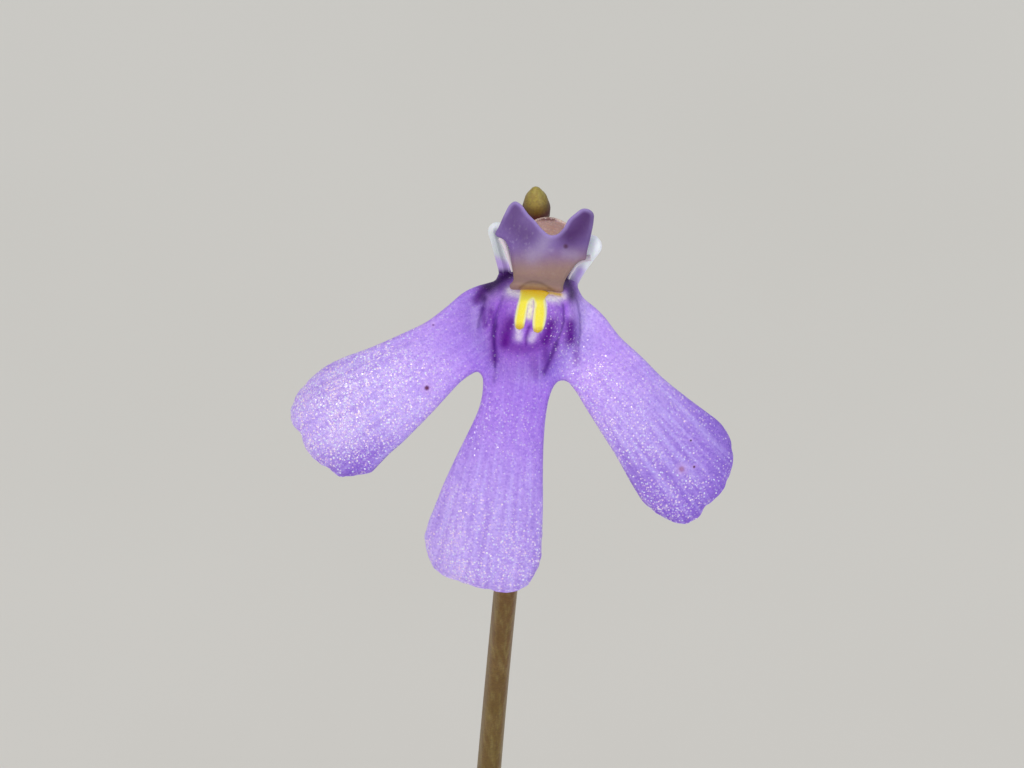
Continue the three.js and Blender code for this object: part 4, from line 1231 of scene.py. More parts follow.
# %% [markdown]
# ## Calyx and bud
#
# Two cupped sepals hold the flower's foot. They are leaf turned fleshy, swollen with water: to the eye
# reddish beige and wet, each cell a glinting bead, the glints partly painted into the colour, with a dark red
# edge. Halves of an egg would have the shape but no rim, so each is a sheet over an oval outline, cupped,
# tilted and moved to its place. The next bud, at the stem's tip, is a pointed egg with two seams, and its
# closed petals are smooth and green.

# %% A sepal and an egg
def sepal(half_width, half_length, cup, tilt, spot, rays=72):
    """A cupped oval sheet: its height grows with the square of the distance from its middle."""
    turn = full_turn(rays)
    outline = np.stack([half_width * np.cos(turn), half_length * np.sin(turn)], 1)

    def front(x, y, gap):
        """The hollow side, with a fine rounded edge."""
        return cup * (x * x + 0.5 * y * y) + 0.05 * swell(gap, 0.12)

    def back(x, y, gap):
        """The outer side, swollen towards its middle."""
        return cup * (x * x + 0.5 * y * y) - 0.17 * swell(gap, 0.4)

    shape = fan_sheet(outline, (0.0, 0.0), steps_to_rim(18), steps_to_rim(18), front, back)
    x, y, z = shape["points"].T
    cosine, sine = math.cos(math.radians(tilt)), math.sin(math.radians(tilt))
    shape["marks"] = {"along": y / half_length * 0.5 + 0.5}
    shape["points"] = np.stack([x, y * cosine - z * sine, y * sine + z * cosine], 1) + spot
    return shape


def egg(centre, radii, rows=20, columns=28):
    """An egg: circles whose radius is the sine of the angle down from the top."""
    down = np.linspace(0.06, np.pi - 0.06, rows)[:, None]
    turn = full_turn(columns)[None, :]
    points = np.stack([np.sin(down) * np.cos(turn), np.sin(down) * np.sin(turn), np.cos(down) + 0 * turn], -1)
    return closed_rings(points * np.asarray(radii) + centre, {"along": (1 - np.cos(down)) / 2 + 0 * turn})


print("a sepal's points:", len(sepal(0.9, 1.28, cup=0.4, tilt=48, spot=(0, 0, 0))["points"]))

# %% Calyx
def calyx_colour(tree, place):
    """Reddish beige in blotches 0.35 mm wide, dark red at the sepals' ends, red brown towards the pedicel."""
    blotch = add(tree, "TexNoise", {"Vector": place, "Scale": per_metre(0.35), "Detail": 3})
    end = add(tree, "MapRange", ["along", 0.955, 0.99, 0, 0.75])
    return painted(tree, "#ffe2c4", [("#e6b396", blotch), ("#8c5a48", "foot"), ("#7a3c34", end)])


# Upper sepal, lower sepal, receptacle and ovary.
calyx = together([
    sepal(0.9, 1.28, cup=0.4, tilt=48, spot=(0.33, 1.36, -3.1)),
    sepal(0.85, 1.22, cup=-0.34, tilt=150, spot=(0.1, -0.78, -3.62)),
    egg((0.15, 0.25, -3.72), (0.7, 0.7, 0.72)),
    egg((0.14, 0.04, -2.95), (0.6, 0.6, 0.66)),
])
calyx["marks"]["foot"] = 0.85 * smoothstep(-3.25, -4.2, calyx["points"][:, 2])
# Painted glints: many of the sepals' cells get a paler colour as well as a glossier coat.
calyx["marks"]["glitter"] = np.full(len(calyx["points"]), 0.75)
sepal_skin = petal_skin(
    "glistening fleshy sepal", calyx_colour, 0.3, dome=0.8, mottle=0.32, glint_paint=("#ffe9d2", "#ffdfe0")
)
make_piece("calyx_sepals", placed(calyx), sepal_skin, ["calyx"])

# %% Bud
STEM_NODE = np.array([0.1, -0.13, -6.68])
STEM_TIP = np.array([0.03, 1.9, -4.4])
BUD_LENGTH, BUD_RADIUS = 1.45, 0.42
BUD_SHAPE = ([0, 0.06, 0.25, 0.42, 0.68, 0.9, 1], [0.62, 0.74, 0.95, 1, 0.78, 0.36, 0.04])
bud_along = np.linspace(0, 1, 40)
bud_run = (STEM_TIP - STEM_NODE) / np.linalg.norm(STEM_TIP - STEM_NODE)
bud_path = STEM_TIP + np.outer(bud_along * BUD_LENGTH, bud_run)
bud_radii = BUD_RADIUS * np.interp(bud_along, *BUD_SHAPE)
bud = tube(bud_path, bud_radii, (1, 0, 0), 32, ridges=2, ridge_depth=0.06)
# Painted shade in the bud's dark red foot, where it meets the calyx.
bud["marks"]["foot"] = smoothstep(0.57, 0.45, bud["marks"]["along"])
bud["marks"]["along"] = smoothstep(0.52, 0.88, bud["marks"]["along"])


def bud_colour(tree, place):
    """Yellow-green, olive brown below, dark red at its foot, partly painted shade where it meets the calyx.
    """
    return painted(tree, "#5f4718", [("#a8984a", "along"), ("#4a221c", "foot")])


bud_skin = petal_skin("fresh green bud", bud_colour, 0.45, dome=0.2)
make_piece("closed_bud", placed(bud), bud_skin, ["flower_bud"])

# %% [markdown]
# ## The flower stem
#
# A living stalk 0.9 mm thick, drawn out as it grew, with a hard waxy skin: to the eye smooth with a faint
# gloss, olive below and red-brown near the flower, finely streaked along its length, with small scales at its
# node. A curve object with a bevel would do; a tube from numpy keeps the shallow flutes of such a stalk, and
# knows how far up each point is, which steers the colour.

# %% Stem
STEM_BASE = np.array([-2.6, 4.5])
SOIL_LEVEL = 46.0
SOIL_RELIEF = 0.45
STEM_DEPTH = 12.0
PEDICEL_END = np.array([0.15, 0.2, -4.3])
STEM_RINGS, PEDICEL_RINGS = 260, 24


def soil_height(x, y):
    """Level of the peat: two crossed swells, and a slight dish towards the pot's wall."""
    swells = np.sin(0.42 * x + 0.6) * np.cos(0.37 * y - 0.4) + 0.5 * np.sin(0.3 * x - 0.5 * y)
    return SOIL_LEVEL + SOIL_RELIEF * swells - 0.9 * smoothstep(18, 27, np.hypot(x, y))


stem_foot = float(soil_height(*STEM_BASE))
stem_line = [
    (*STEM_BASE, stem_foot - STEM_DEPTH), (*STEM_BASE, stem_foot),
    (STEM_BASE[0] - 0.2, STEM_BASE[1] + 0.2, stem_foot + 14),
    (-2.2, 4.4, 80), (-1.5, 2.9, 98), (-0.7, 0.2, 115),
    in_room(STEM_NODE), in_room(STEM_TIP),
]
up = np.linspace(0, 1, STEM_RINGS)
# Thinner upwards, swollen at the node, faintly knotted, and thinner again under the bud.
stem_radii = mix(0.45, 0.33, up) + 0.07 * bell(up - 0.972, 0.006)
stem_radii += 0.012 * np.sin(41 * up + 2 * np.sin(13 * up))
stem_radii *= 1 - 0.2 * smoothstep(0.975, 0.998, up)
stem_tube = tube(smooth_curve(stem_line, STEM_RINGS), stem_radii, (1, 0, 0), 24, ridges=5, ridge_depth=0.03)
pedicel_mid = (STEM_NODE + PEDICEL_END) / 2 + (0, 0.08, -0.22)
pedicel_path = in_room(smooth_curve([STEM_NODE, pedicel_mid, PEDICEL_END], PEDICEL_RINGS))
pedicel_radii = 0.29 + 0.1 * smoothstep(0.75, 1, np.linspace(0, 1, PEDICEL_RINGS))
pedicel = tube(pedicel_path, pedicel_radii, (1, 0, 0), 20)
pedicel["marks"]["along"] = np.ones_like(pedicel["marks"]["along"])
print("stem:", round(float(2 * stem_radii.max()), 2), "mm at its thickest")

# %% [markdown]
# ## Leaves
#
# Each leaf is a thin stalk that widens into a narrow spatula, bent over towards its tip. A flat outline given
# a thickness would have a blade with a square edge and no midrib, so rings run from foot to tip: each is a
# flat oval, hollowed a little along the midrib. The stem's scales are the same leaf, small.

# %% A leaf
STALK_ACROSS, STALK_DEEP = 0.26, 0.24  # half the width and half the depth of a leaf's stalk


def half_width(along, width):
    """Half the width of a leaf at a share of its length: thin stalk, widest at three quarters, round tip."""
    return mix(STALK_ACROSS, width / 2, smoothstep(0.25, 0.75, along)) * rounded_end(along, 0.8)


def leaf(foot, heading, lift, droop, length, width, rows=34, columns=20, thick=0.13):
    """A leaf from its foot: each ring stands across the leaf's line, which bends down as it goes.

    Across it goes by the cosine of the angle round the ring and up by the sine, thinner in the blade than in
    the stalk, and the blade's edges rise with the square of the distance from the midrib."""
    along = np.sin(np.pi / 2 * np.linspace(0, 1, rows))
    tilt = lift - droop * along
    run = np.stack([np.cos(tilt) * math.cos(heading), np.cos(tilt) * math.sin(heading), np.sin(tilt)], 1)
    up = np.stack([-np.sin(tilt) * math.cos(heading), -np.sin(tilt) * math.sin(heading), np.cos(tilt)], 1)
    side = np.array([-math.sin(heading), math.cos(heading), 0.0])
    step = np.diff(along, prepend=0.0)[:, None]
    line = np.asarray(foot) + np.cumsum(run * step, axis=0) * length
    turn = full_turn(columns)
    half = half_width(along, width)[:, None]
    across = half * np.cos(turn)
    blade = smoothstep(0.25, 0.6, along)[:, None]
    depth = mix(STALK_DEEP, thick, blade) * np.sqrt(1 - 0.9 * smoothstep(0.95, 1, along)[:, None] ** 2)
    midrib = 0.07 * bell(across, 0.16) * np.sign(np.sin(turn))
    rise = depth * np.sin(turn) + blade * (0.22 * across**2 - midrib)
    rings = line[:, None, :] + across[..., None] * side + rise[..., None] * up[:, None, :]
    marks = {"along": np.repeat(along[:, None], columns, axis=1), "share": np.abs(np.cos(turn)) + 0 * across}
    return closed_rings(rings, marks)


print("a leaf's points:", len(leaf((0, 0, 0), 0.0, 1.0, 0.5, 7.0, 2.0)["points"]))

# %% The stem with its scales
def stem_colour(tree, place):
    """Olive at the foot, red-brown under the flower, with streaks 0.12 mm wide and 2.4 mm long."""
    drawn_out = add(tree, "Mapping", {"Vector": place, "Scale": (1.0, 1.0, 0.05)})
    streak = add(tree, "TexNoise", {"Vector": drawn_out, "Scale": per_metre(0.12), "Detail": 3})
    pale = add(tree, "MapRange", [streak, 0.45, 0.75, 0, 0.45])
    return painted(tree, "#7c8a3a", [("#7a4a35", "along"), ("#a69a5c", pale)])


scale_foot = in_room(STEM_NODE) - (0, 0, 0.3)
scales = [leaf(scale_foot, heading, 1.15, 0.3, 1.9, 0.85, 14, 12, 0.09) for heading in (0.5, 2.6, -1.6)]
for scale in scales:
    scale["marks"]["along"] = np.full_like(scale["marks"]["along"], 0.93)
stem_skin = petal_skin("fresh wiry stem", stem_colour, 0.42, dome=0.2)
make_piece("thread_stem", together([stem_tube, pedicel, *scales]), stem_skin, ["flower_stem"])

# %% [markdown]
# ## Stolons, traps and crown
#
# Such a plant has no roots. It creeps by stolons, thin pale shoots that run out over the wet peat from the
# crown at the stem's foot. Each carries leaves and a few bladder traps, little bags tight with water that
# suck in what touches their mouth. Every stolon could be drawn by hand, but one rule with a seeded draw turns
# each a little differently, so that the eight are alike and none is a copy.

# %% Leaf, trap and stolon finish
def waxy_leaf(tree, place):
    """Living leaf, grown: a skin of flat cells under a film of wax, over soft green pulp that glows in light.

    To the eye: fresh green with a soft gloss, a paler midrib, an almost white stalk, tips that begin to
    brown. The skin's cells are drawn 0.09 mm wide, twice their real width, so that they just show."""
    layers = [
        ("#a9c24a", add(tree, "TexNoise", {"Vector": place, "Scale": per_metre(1.6), "Detail": 4})),
        ("#c6d679", add(tree, "MapRange", ["share", 0.05, 0.25, 0.45, 0])),
        ("#b9b98a", add(tree, "MapRange", ["along", 0, 0.4, 0.55, 0])),
        ("#8c7a34", add(tree, "MapRange", ["along", 0.9, 1, 0, 0.5])),
    ]
    cells = add(tree, "TexVoronoi", {"Vector": place, "Scale": per_metre(0.09)})
    return {
        "Base Color": painted(tree, "#6f9c2c", layers),
        "Roughness": 0.36,
        "Normal": add(tree, "Bump", {"Height": cells, "Distance": 0.02 * MM, "Strength": 0.4}, invert=True),
        "Subsurface Weight": 0.25,
        "Subsurface Radius": (0.3, 0.7, 0.1),
        "Subsurface Scale": 0.4 * MM,
        "Coat Weight": 0.25,
        "Coat Roughness": 0.2,
    }


def bladder_wall(tree, place):
    """The wall of a trap: two layers of cells, blown up tight by the water in it.

    To the eye: a pale green glassy bead with a sharp highlight, darker where the prey shows through. The
    cells are 0.08 mm wide, as large as they really grow."""
    prey = add(tree, "MapRange", ["along", 0.3, 0.9, 0, 0.8])
    cells = add(tree, "TexVoronoi", {"Vector": place, "Scale": per_metre(0.08)})
    return {
        "Base Color": painted(tree, "#c3cf9a", [("#5c6b3a", prey)]),
        "Roughness": 0.18,
        "Normal": add(tree, "Bump", {"Height": cells, "Distance": 0.02 * MM, "Strength": 0.35}, invert=True),
        "Subsurface Weight": 0.5,
        "Subsurface Radius": (0.5, 0.6, 0.3),
        "Subsurface Scale": 0.5 * MM,
        "Coat Weight": 0.6,
        "Coat Roughness": 0.08,
    }


leaf_skin = finish("fresh waxy leaf", waxy_leaf)
trap_skin = finish("glassy bladder wall", bladder_wall)
print("finishes:", leaf_skin.name, "and", trap_skin.name)

# %% A stolon and a trap
STOLONS, STOLON_RADIUS, STOLON_START, STOLON_END, CLEARANCE = 8, 0.35, 2.6, 20.0, 0.3
STOLON_STEPS = 90
LEAVES, TRAPS, TRAP_LENGTH = 6, 2, 1.5
CREEPER_AGE = 0.05  # the mark along of a stolon and of the crown, which gives them the stalk's pale colour


def stolon_path(index, draw):
    """A creeping line outwards from the crown, turning slowly, just above the peat."""
    start = 2 * math.pi * (index + 0.5) / STOLONS
    turn = draw(-0.22, 0.22)
    reach = STOLON_END - draw(0, 3)
    along = np.arange(7) / 6
    angle = start + turn * along * along + 0.05 * np.sin(7 * along + index)
    radius = mix(STOLON_START, reach, along)
    near_crown = 1 - smoothstep(0, 0.6, along)
    x = radius * np.cos(angle) + STEM_BASE[0] * near_crown
    y = radius * np.sin(angle) + STEM_BASE[1] * near_crown
    corners = np.stack([x, y, soil_height(x, y) + STOLON_RADIUS + CLEARANCE], 1)
    return smooth_curve(corners, STOLON_STEPS + 1)


def creeper(path, index):
    """The stolon itself: a thin tube from the crown along its path, faintly knotted, with a round tip."""
    start = 2 * math.pi * (index + 0.5) / STOLONS
    joint = (STEM_BASE[0] + math.cos(start), STEM_BASE[1] + math.sin(start), stem_foot + 0.2)
    whole_path = np.concatenate([np.linspace(joint, path[0], 9)[:-1], path])
    share = np.linspace(0, 1, len(whole_path))
    shape = tube(whole_path, (0.3 + 0.02 * np.sin(90 * share)) * rounded_end(share, 0.975), (0, 0, 1), 14)
    shape["marks"]["along"] = np.full_like(shape["marks"]["along"], CREEPER_AGE)
    return shape


def trap(foot, heading):
    """A bladder: an egg beside its stolon, drawn out to a short beak at the mouth, on a thin stalk."""
    down = np.linspace(0.05, np.pi - 0.05, 18)[:, None]
    turn = full_turn(20)[None, :]
    beak = 0.22 * smoothstep(0.75, 1.0, (1 - np.cos(down)) / 2)
    radius = np.sin(down) ** 0.9 * TRAP_LENGTH / 2
    out = -np.cos(down) * TRAP_LENGTH / 2 + TRAP_LENGTH * 0.42 + 0 * turn
    aside = radius * 0.72 * np.cos(turn)
    up = radius * 0.8 * np.sin(turn) + 0.22 - beak * 0.6
    a, b = math.cos(heading), math.sin(heading)
    points = np.stack([out * a - aside * b, out * b + aside * a, up], -1) + foot
    return closed_rings(points, {"along": (1 - np.cos(down)) / 2 + 0 * turn})


print("a trap's points:", len(trap((0, 0, 0), 0.0)["points"]))

# %% Stolons with their leaves and traps
for index in range(STOLONS):
    draw = seeded_numbers(101 + index)
    path = stolon_path(index, draw)
    run = np.gradient(path, axis=0)
    headings = np.arctan2(run[:, 1], run[:, 0])
    shapes = [creeper(path, index)]
    for i in range(LEAVES):
        along = mix(0.3, 0.97, i / (LEAVES - 1))
        at = round(along * STOLON_STEPS)
        heading = headings[at] + (1 if i % 2 else -1) * draw(0.35, 0.8)
        lift, droop = draw(0.95, 1.2), draw(0.5, 0.9)
        length = draw(6.2, 8.2) - 1.2 * along
        shapes.append(leaf(path[at], heading, lift, droop, length, draw(1.7, 2.1)))
    name = f"stolon_with_leaves_{index + 1}"
    make_piece(name, together(shapes), leaf_skin, [f"leafy_stolon_{index + 1}"])
    traps = []
    for i in range(TRAPS):
        at = round(mix(0.3, 0.86, i / (TRAPS - 1)) * STOLON_STEPS)
        traps.append(trap(path[at], headings[at] + (-1 if i % 2 else 1) * math.pi / 2))
    make_piece(f"bladder_traps_{index + 1}", together(traps), trap_skin)

# %% Crown
CROWN_RADIUS, CROWN_HEIGHT, CROWN_SINK, BASAL_LEAVES = 1.7, 1.5, 0.7, 6
draw = seeded_numbers(57)
crown_foot = np.array([*STEM_BASE, stem_foot - CROWN_SINK])
up = np.linspace(0, 1, 20)
crown_radii = CROWN_RADIUS * np.sqrt(np.clip(1 - (0.96 * np.abs(up - 0.35) / 0.65) ** 4, 0.02, 1))
crown_path = crown_foot + np.outer(up, [0, 0, CROWN_HEIGHT])
crown = tube(crown_path, crown_radii, (1, 0, 0), 40, ridges=7, ridge_depth=0.08)
crown["marks"]["along"] = np.full_like(crown["marks"]["along"], CREEPER_AGE)
shapes = [crown]
for i in range(BASAL_LEAVES):
    heading = 2 * math.pi * i / BASAL_LEAVES + draw(-0.2, 0.2)
    away = 0.72 * CROWN_RADIUS * np.array([math.cos(heading), math.sin(heading)])
    foot = crown_foot + (*away, 0.6 * CROWN_HEIGHT)
    lift, droop, length = draw(1.1, 1.25), draw(0.4, 0.7), draw(7, 9)
    shapes.append(leaf(foot, heading, lift, droop, length, 2.0))
make_piece("crown_leaves", together(shapes), leaf_skin, ["basal_leaves"])

# %% [markdown]
# ## Peat and sand
#
# Bladderworts grow in wet peat with sand. The peat is half-rotted moss, pressed down by watering: nearly
# black, rough, faintly wet, with a green bloom of algae. The surface is a disc of rings with waves of several
# sizes. On it lie loose pieces that one surface can't show: clear to honey-coloured grains of quartz, rounded
# by water, and dark crumbs and fibres of peat. A particle system would scatter them, but the export drops
# particles, so their points are worked out at once: a twenty-sided crystal, stretched, turned and half sunk.

# %% Relief of the peat and wall of the pot
def fine_relief(x, y):
    """Small unevenness: eight waves, each shorter and lower than the last, in different directions."""
    total = 0 * x
    for k in range(8):
        heading = 2.4 * k
        travelled = x * math.cos(heading) + y * math.sin(heading)
        total = total + 0.11 / 1.22**k * np.sin(2 * np.pi * travelled / (5.5 / 1.35**k) + 1.7 * k)
    return total


WALL, FOOT_RADIUS, RIM_RADIUS, POT_HEIGHT, RIM_STEP, RIM_BAND = 1.6, 21.0, 30.0, 54.0, 1.4, 8.0
FOOT_RING, FOOT_WIDTH = 1.8, 2.6


def wall_radius(z):
    """Outer radius of the pot's tapered wall at a height."""
    return mix(FOOT_RADIUS, RIM_RADIUS - RIM_STEP, z / POT_HEIGHT)


print("relief at the middle:", round(float(fine_relief(0.0, 0.0)), 2), "mm")

# %% Peat surface
def wet_peat(tree, place):
    """Dark brown lumps 1.1 mm wide, with patches of green algae 9 mm wide, under a thin film of water."""
    lumps = add(tree, "TexNoise", {"Vector": place, "Scale": per_metre(1.1), "Detail": 8, "Roughness": 0.65})
    algae = add(tree, "TexNoise", {"Vector": place, "Scale": per_metre(9), "Detail": 5})
    green = add(tree, "MapRange", [algae, 0.55, 0.7, 0, 0.5])
    return {
        "Base Color": painted(tree, "#241812", [("#4d3625", lumps), ("#4c5a26", green)]),
        "Roughness": 0.75,
        "Normal": add(tree, "Bump", {"Height": lumps, "Distance": 0.5 * MM, "Strength": 0.9}),
        "Coat Weight": 0.15,
        "Coat Roughness": 0.3,
    }


SKIRT_LEVEL = 40.0  # beside the wall the surface turns down to here
SOIL_SPOKES = 260
soil_edge = wall_radius(SOIL_LEVEL - 1.5) - WALL - 0.05
soil_radii = np.concatenate([np.linspace(0.01, 1, 110) * soil_edge, [soil_edge - 0.3]])
turn = full_turn(SOIL_SPOKES)
x, y = soil_radii[:, None] * np.cos(turn), soil_radii[:, None] * np.sin(turn)
level = soil_height(x, y) + fine_relief(x, y)
level[-1] = SKIRT_LEVEL
peat = closed_rings(np.stack([x, y, level], -1))
make_piece("peat_surface", peat, finish("wet peat", wet_peat), ["soil"])

# %% A crystal
golden = (1 + 5**0.5) / 2
CRYSTAL = np.array([
    (-1, golden, 0), (1, golden, 0), (-1, -golden, 0), (1, -golden, 0),
    (0, -1, golden), (0, 1, golden), (0, -1, -golden), (0, 1, -golden),
    (golden, 0, -1), (golden, 0, 1), (-golden, 0, -1), (-golden, 0, 1),
]) / math.hypot(1, golden)
CRYSTAL_FACES = np.array([
    (0, 11, 5), (0, 5, 1), (0, 1, 7), (0, 7, 10), (0, 10, 11), (1, 5, 9), (5, 11, 4), (11, 10, 2), (10, 7, 6),
    (7, 1, 8), (3, 9, 4), (3, 4, 2), (3, 2, 6), (3, 6, 8), (3, 8, 9), (4, 9, 5), (2, 4, 11), (6, 2, 10),
    (8, 6, 7), (9, 8, 1),
])
print("crystal faces:", len(CRYSTAL_FACES))

# %% Many crystals on the peat
SPREAD = 24.9  # radius of the disc that they lie on


def turned_by(a, b, angle):
    """Two coordinates of many crystals, each turned by its own angle."""
    cosine, sine = np.cos(angle)[:, None], np.sin(angle)[:, None]
    return a * cosine - b * sine, a * sine + b * cosine


def scattered(count, seed, smallest, largest_size, stretch, flatness, rugged):
    """Many crystals on the peat: each is stretched along one axis, flattened, tipped, turned and half sunk.

    Places come from an even spread over a disc: the radius is the square root of a random number. Sizes are
    in millimetres, and most are near the smallest. rugged is how unevenly a crystal's corners stand out."""
    rng = np.random.default_rng(seed)
    radius = SPREAD * np.sqrt(rng.random(count))
    turn = 2 * np.pi * rng.random(count)
    x, y = radius * np.cos(turn), radius * np.sin(turn)
    size = mix(smallest, largest_size, rng.random(count) ** 2.2) / 2
    length = mix(1, stretch, rng.random(count))
    scale = size[:, None] * np.stack([length, np.ones(count), np.full(count, flatness)], 1)
    yaw, pitch = 2 * np.pi * rng.random(count), 0.5 * (rng.random(count) - 0.5)
    points = CRYSTAL * (1 + rugged * (rng.random((count, 12, 1)) - 0.5)) * scale[:, None, :]
    px, pz = turned_by(points[..., 0], points[..., 2], pitch)
    px, py = turned_by(px, points[..., 1], yaw)
    z = soil_height(x, y) + fine_relief(x, y) + 0.35 * size * flatness
    points = np.stack([px + x[:, None], py + y[:, None], pz + z[:, None]], -1).reshape(-1, 3)
    faces = (CRYSTAL_FACES + 12 * np.arange(count)[:, None, None]).reshape(-1, 3)
    pick = np.repeat(rng.random(count), 12)
    return {"points": points, "quads": np.zeros((0, 4), int), "fans": faces, "marks": {"pick": pick}}


ten = scattered(10, 1, 0.2, 0.8, stretch=1.5, flatness=0.8, rugged=0.3)
print("points of ten crystals:", ten["points"].shape)

# %% Grains, crumbs and fibres
def grain_finish(name, colours, roughness, coat=0.0):
    """Loose pieces in three shades, which each piece picks by a number of its own, with grime 0.4 mm wide."""

    def feed(tree, place):
        grime = add(tree, "TexNoise", {"Vector": place, "Scale": per_metre(0.4), "Detail": 4})
        layers = [
            (colours[1], add(tree, "MapRange", ["pick", 0.2, 0.6])),
            (colours[2], add(tree, "MapRange", ["pick", 0.75, 0.9])),
            ("#3a2c20", add(tree, "MapRange", [grime, 0.5, 0.8, 0, 0.6])),
        ]
        return {
            "Base Color": painted(tree, colours[0], layers),
            "Roughness": roughness,
            "Normal": add(tree, "Bump", {"Height": grime, "Distance": 0.14 * MM, "Strength": 0.9}),
            "Coat Weight": coat,
        }

    return finish(name, feed)


# Quartz is broken by frost and rounded by water: glassy, with a wet glint. Peat is torn moss and root: matt.
quartz = grain_finish("quartz sand", ["#a88f6a", "#cfc0a2", "#e9e2d2"], 0.35, coat=0.3)
crumb = grain_finish("peat crumb", ["#2a1b12", "#422c1d", "#5d4029"], 0.85)
fibre = grain_finish("peat fibre", ["#4f3823", "#75573a", "#93724c"], 0.8)
grains = scattered(1900, 11, 0.22, 0.85, stretch=1.5, flatness=0.8, rugged=0.3)
crumbs = scattered(2700, 12, 0.25, 1.3, stretch=1.9, flatness=0.6, rugged=0.7)
fibres = scattered(620, 13, 0.14, 0.28, stretch=13.0, flatness=1.0, rugged=0.3)
make_piece("sand_grains", grains, quartz)
make_piece("peat_crumbs", crumbs, crumb)
make_piece("peat_fibres", fibres, fibre)

# %% [markdown]
# ## The pot
#
# A plain nursery pot, moulded in terracotta-coloured polypropylene: tapered wall, rim band, foot ring and
# holes in its floor. The wall is a profile turned about the pot's axis. Six round holes can't be part of a
# turned grid, so a Boolean cuts them through the floor, and is applied at once.

# %% The pot's turned body
def turned(profile, columns=180):
    """A profile of radius and height turned about Z, closed at both ends on the axis."""
    turn = full_turn(columns)
    r, z = profile[:, :1], profile[:, 1:]
    return closed_rings(np.stack([r * np.cos(turn), r * np.sin(turn), z + 0 * turn], -1))


def rounded(profile, radius, steps=5):
    """The profile with each corner turned into an arc that starts and ends a radius away from it."""
    profile = np.asarray(profile, float)
    rows = [profile[:1]]
    for before, corner, after in zip(profile[:-2], profile[1:-1], profile[2:]):
        back, on = before - corner, after - corner
        reach = min(radius, 0.45 * np.hypot(*back), 0.45 * np.hypot(*on))
        start = corner + reach * back / np.hypot(*back)
        end = corner + reach * on / np.hypot(*on)
        t = np.linspace(0, 1, steps)[:, None]
        rows.append((1 - t) ** 2 * start + 2 * t * (1 - t) * corner + t * t * end)
    rows.append(profile[-1:])
    return np.concatenate(rows)


def filled_in(profile, spacing):
    """The profile with more points on its long runs, so that no two are further apart than the spacing."""
    steps = [2 + int(np.hypot(*(b - a)) // spacing) for a, b in zip(profile[:-1], profile[1:])]
    runs = [np.linspace(a, b, n, endpoint=False) for a, b, n in zip(profile[:-1], profile[1:], steps)]
    return np.concatenate([*runs, profile[-1:]])


AXIS = 0.05  # the profile starts this near the axis, where a fan closes it
FOOT_BEVEL, CORNER_RADIUS, PROFILE_SPACING = 1.5, 0.7, 2.5
band_bottom = POT_HEIGHT - RIM_BAND
floor_top = FOOT_RING + WALL
inner_rim = RIM_RADIUS - RIM_STEP - WALL
foot_inner = FOOT_RADIUS - FOOT_WIDTH
pot_profile = filled_in(rounded([
    (AXIS, FOOT_RING), (foot_inner - 0.5, FOOT_RING), (foot_inner, 0), (FOOT_RADIUS - 0.2, 0),
    (wall_radius(FOOT_BEVEL), FOOT_BEVEL), (wall_radius(band_bottom), band_bottom),
    (RIM_RADIUS, band_bottom + 0.35), (RIM_RADIUS, POT_HEIGHT), (inner_rim, POT_HEIGHT),
    (wall_radius(floor_top) - WALL, floor_top), (AXIS, floor_top),
], CORNER_RADIUS), PROFILE_SPACING)
print("pot profile rows:", len(pot_profile))

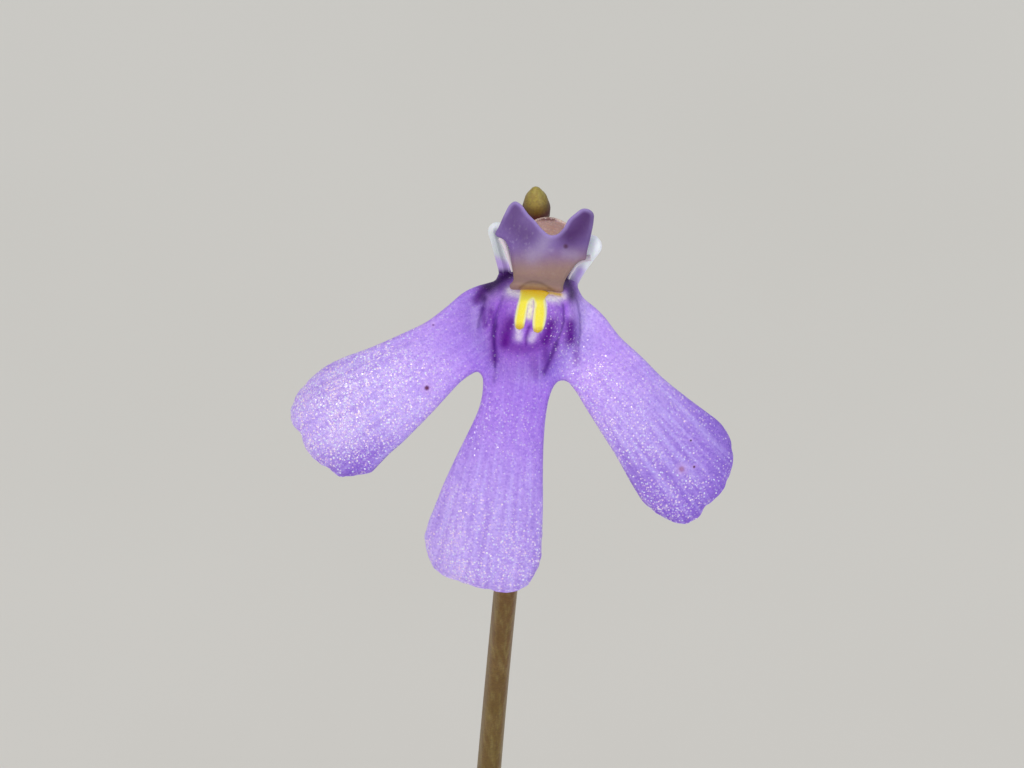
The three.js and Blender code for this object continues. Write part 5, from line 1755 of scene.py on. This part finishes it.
# %% Pot finish
def moulded_polypropylene(tree, place):
    """Polypropylene, coloured through and injected into a steel mould with a fine sparked grain.

    To the eye: even terracotta with a satin gloss, a little waxy at the rim; clouds 18 mm wide where the
    pigment mixed, scuffs 5 mm long and 1 mm high, and chalk from watering on the lowest 12 mm. The mould's
    grain is drawn 0.25 mm wide, three times its real width, so that it shows."""
    height = add(tree, "SeparateXYZ", [place]).outputs["Z"]
    splash = add(tree, "MapRange", [height, 0, 12 * MM, 0.55, 0])
    speck = add(tree, "TexNoise", {"Vector": place, "Scale": per_metre(2.2), "Detail": 8, "Roughness": 0.7})
    lying = add(tree, "Mapping", {"Vector": place, "Scale": (1.0, 1.0, 5.0), "Rotation": (0.2, 0.1, 0.0)})
    scuff = add(tree, "TexNoise", {"Vector": lying, "Scale": per_metre(5), "Detail": 9, "Roughness": 0.75})
    grain = add(tree, "TexNoise", {"Vector": place, "Scale": per_metre(0.25), "Detail": 2})
    layers = [
        ("#b9674a", add(tree, "TexNoise", {"Vector": place, "Scale": per_metre(18), "Detail": 6})),
        ("#d9c3b2", add(tree, "Math", [speck, splash], operation="MULTIPLY")),
        ("#d08a6c", add(tree, "MapRange", [scuff, 0.6, 0.72, 0, 0.35])),
    ]
    return {
        "Base Color": painted(tree, "#a9573a", layers),
        "Roughness": add(tree, "MapRange", [scuff, 0.4, 0.75, 0.4, 0.6]),
        "IOR": 1.49,
        "Normal": add(tree, "Bump", {"Height": grain, "Distance": 0.02 * MM, "Strength": 0.5}),
    }


pot_skin = finish("moulded polypropylene, terracotta colour", moulded_polypropylene)
pot_piece = make_piece("nursery_pot", turned(pot_profile), pot_skin, ["pot"])

# %% Drain holes
DRAIN_HOLES, DRAIN_RADIUS, DRAIN_CIRCLE = 6, 1.9, 12.5
PIN_FOOT, PIN_TOP = 0.5, 5.0  # a pin's ends, below and above the pot's floor
pins = []
for k in range(DRAIN_HOLES):
    angle = 2 * math.pi * (k + 0.5) / DRAIN_HOLES
    x, y = DRAIN_CIRCLE * math.cos(angle), DRAIN_CIRCLE * math.sin(angle)
    pin_path = np.linspace((x, y, PIN_FOOT), (x, y, PIN_TOP), 3)
    pins.append(tube(pin_path, np.full(3, DRAIN_RADIUS), (1, 0, 0), 40))
pins = together(pins)
pin_mesh = bpy.data.meshes.new("drain_pins")
pin_mesh.from_pydata((pins["points"] * MM).tolist(), [], pins["quads"].tolist() + pins["fans"].tolist())
pin_object = bpy.data.objects.new("drain_pins", pin_mesh)
bpy.context.scene.collection.objects.link(pin_object)
drill = pot_piece.modifiers.new("drain holes", "BOOLEAN")
drill.operation = "DIFFERENCE"
drill.solver = "EXACT"
drill.object = pin_object
drilled = bpy.data.meshes.new_from_object(pot_piece.evaluated_get(bpy.context.evaluated_depsgraph_get()))
pot_piece.modifiers.clear()
pot_piece.data = drilled
drilled.materials.clear()
drilled.materials.append(pot_skin)
drilled.polygons.foreach_set("use_smooth", np.ones(len(drilled.polygons), bool))
bpy.data.objects.remove(pin_object)
print("pot after drilling:", len(drilled.polygons), "faces")
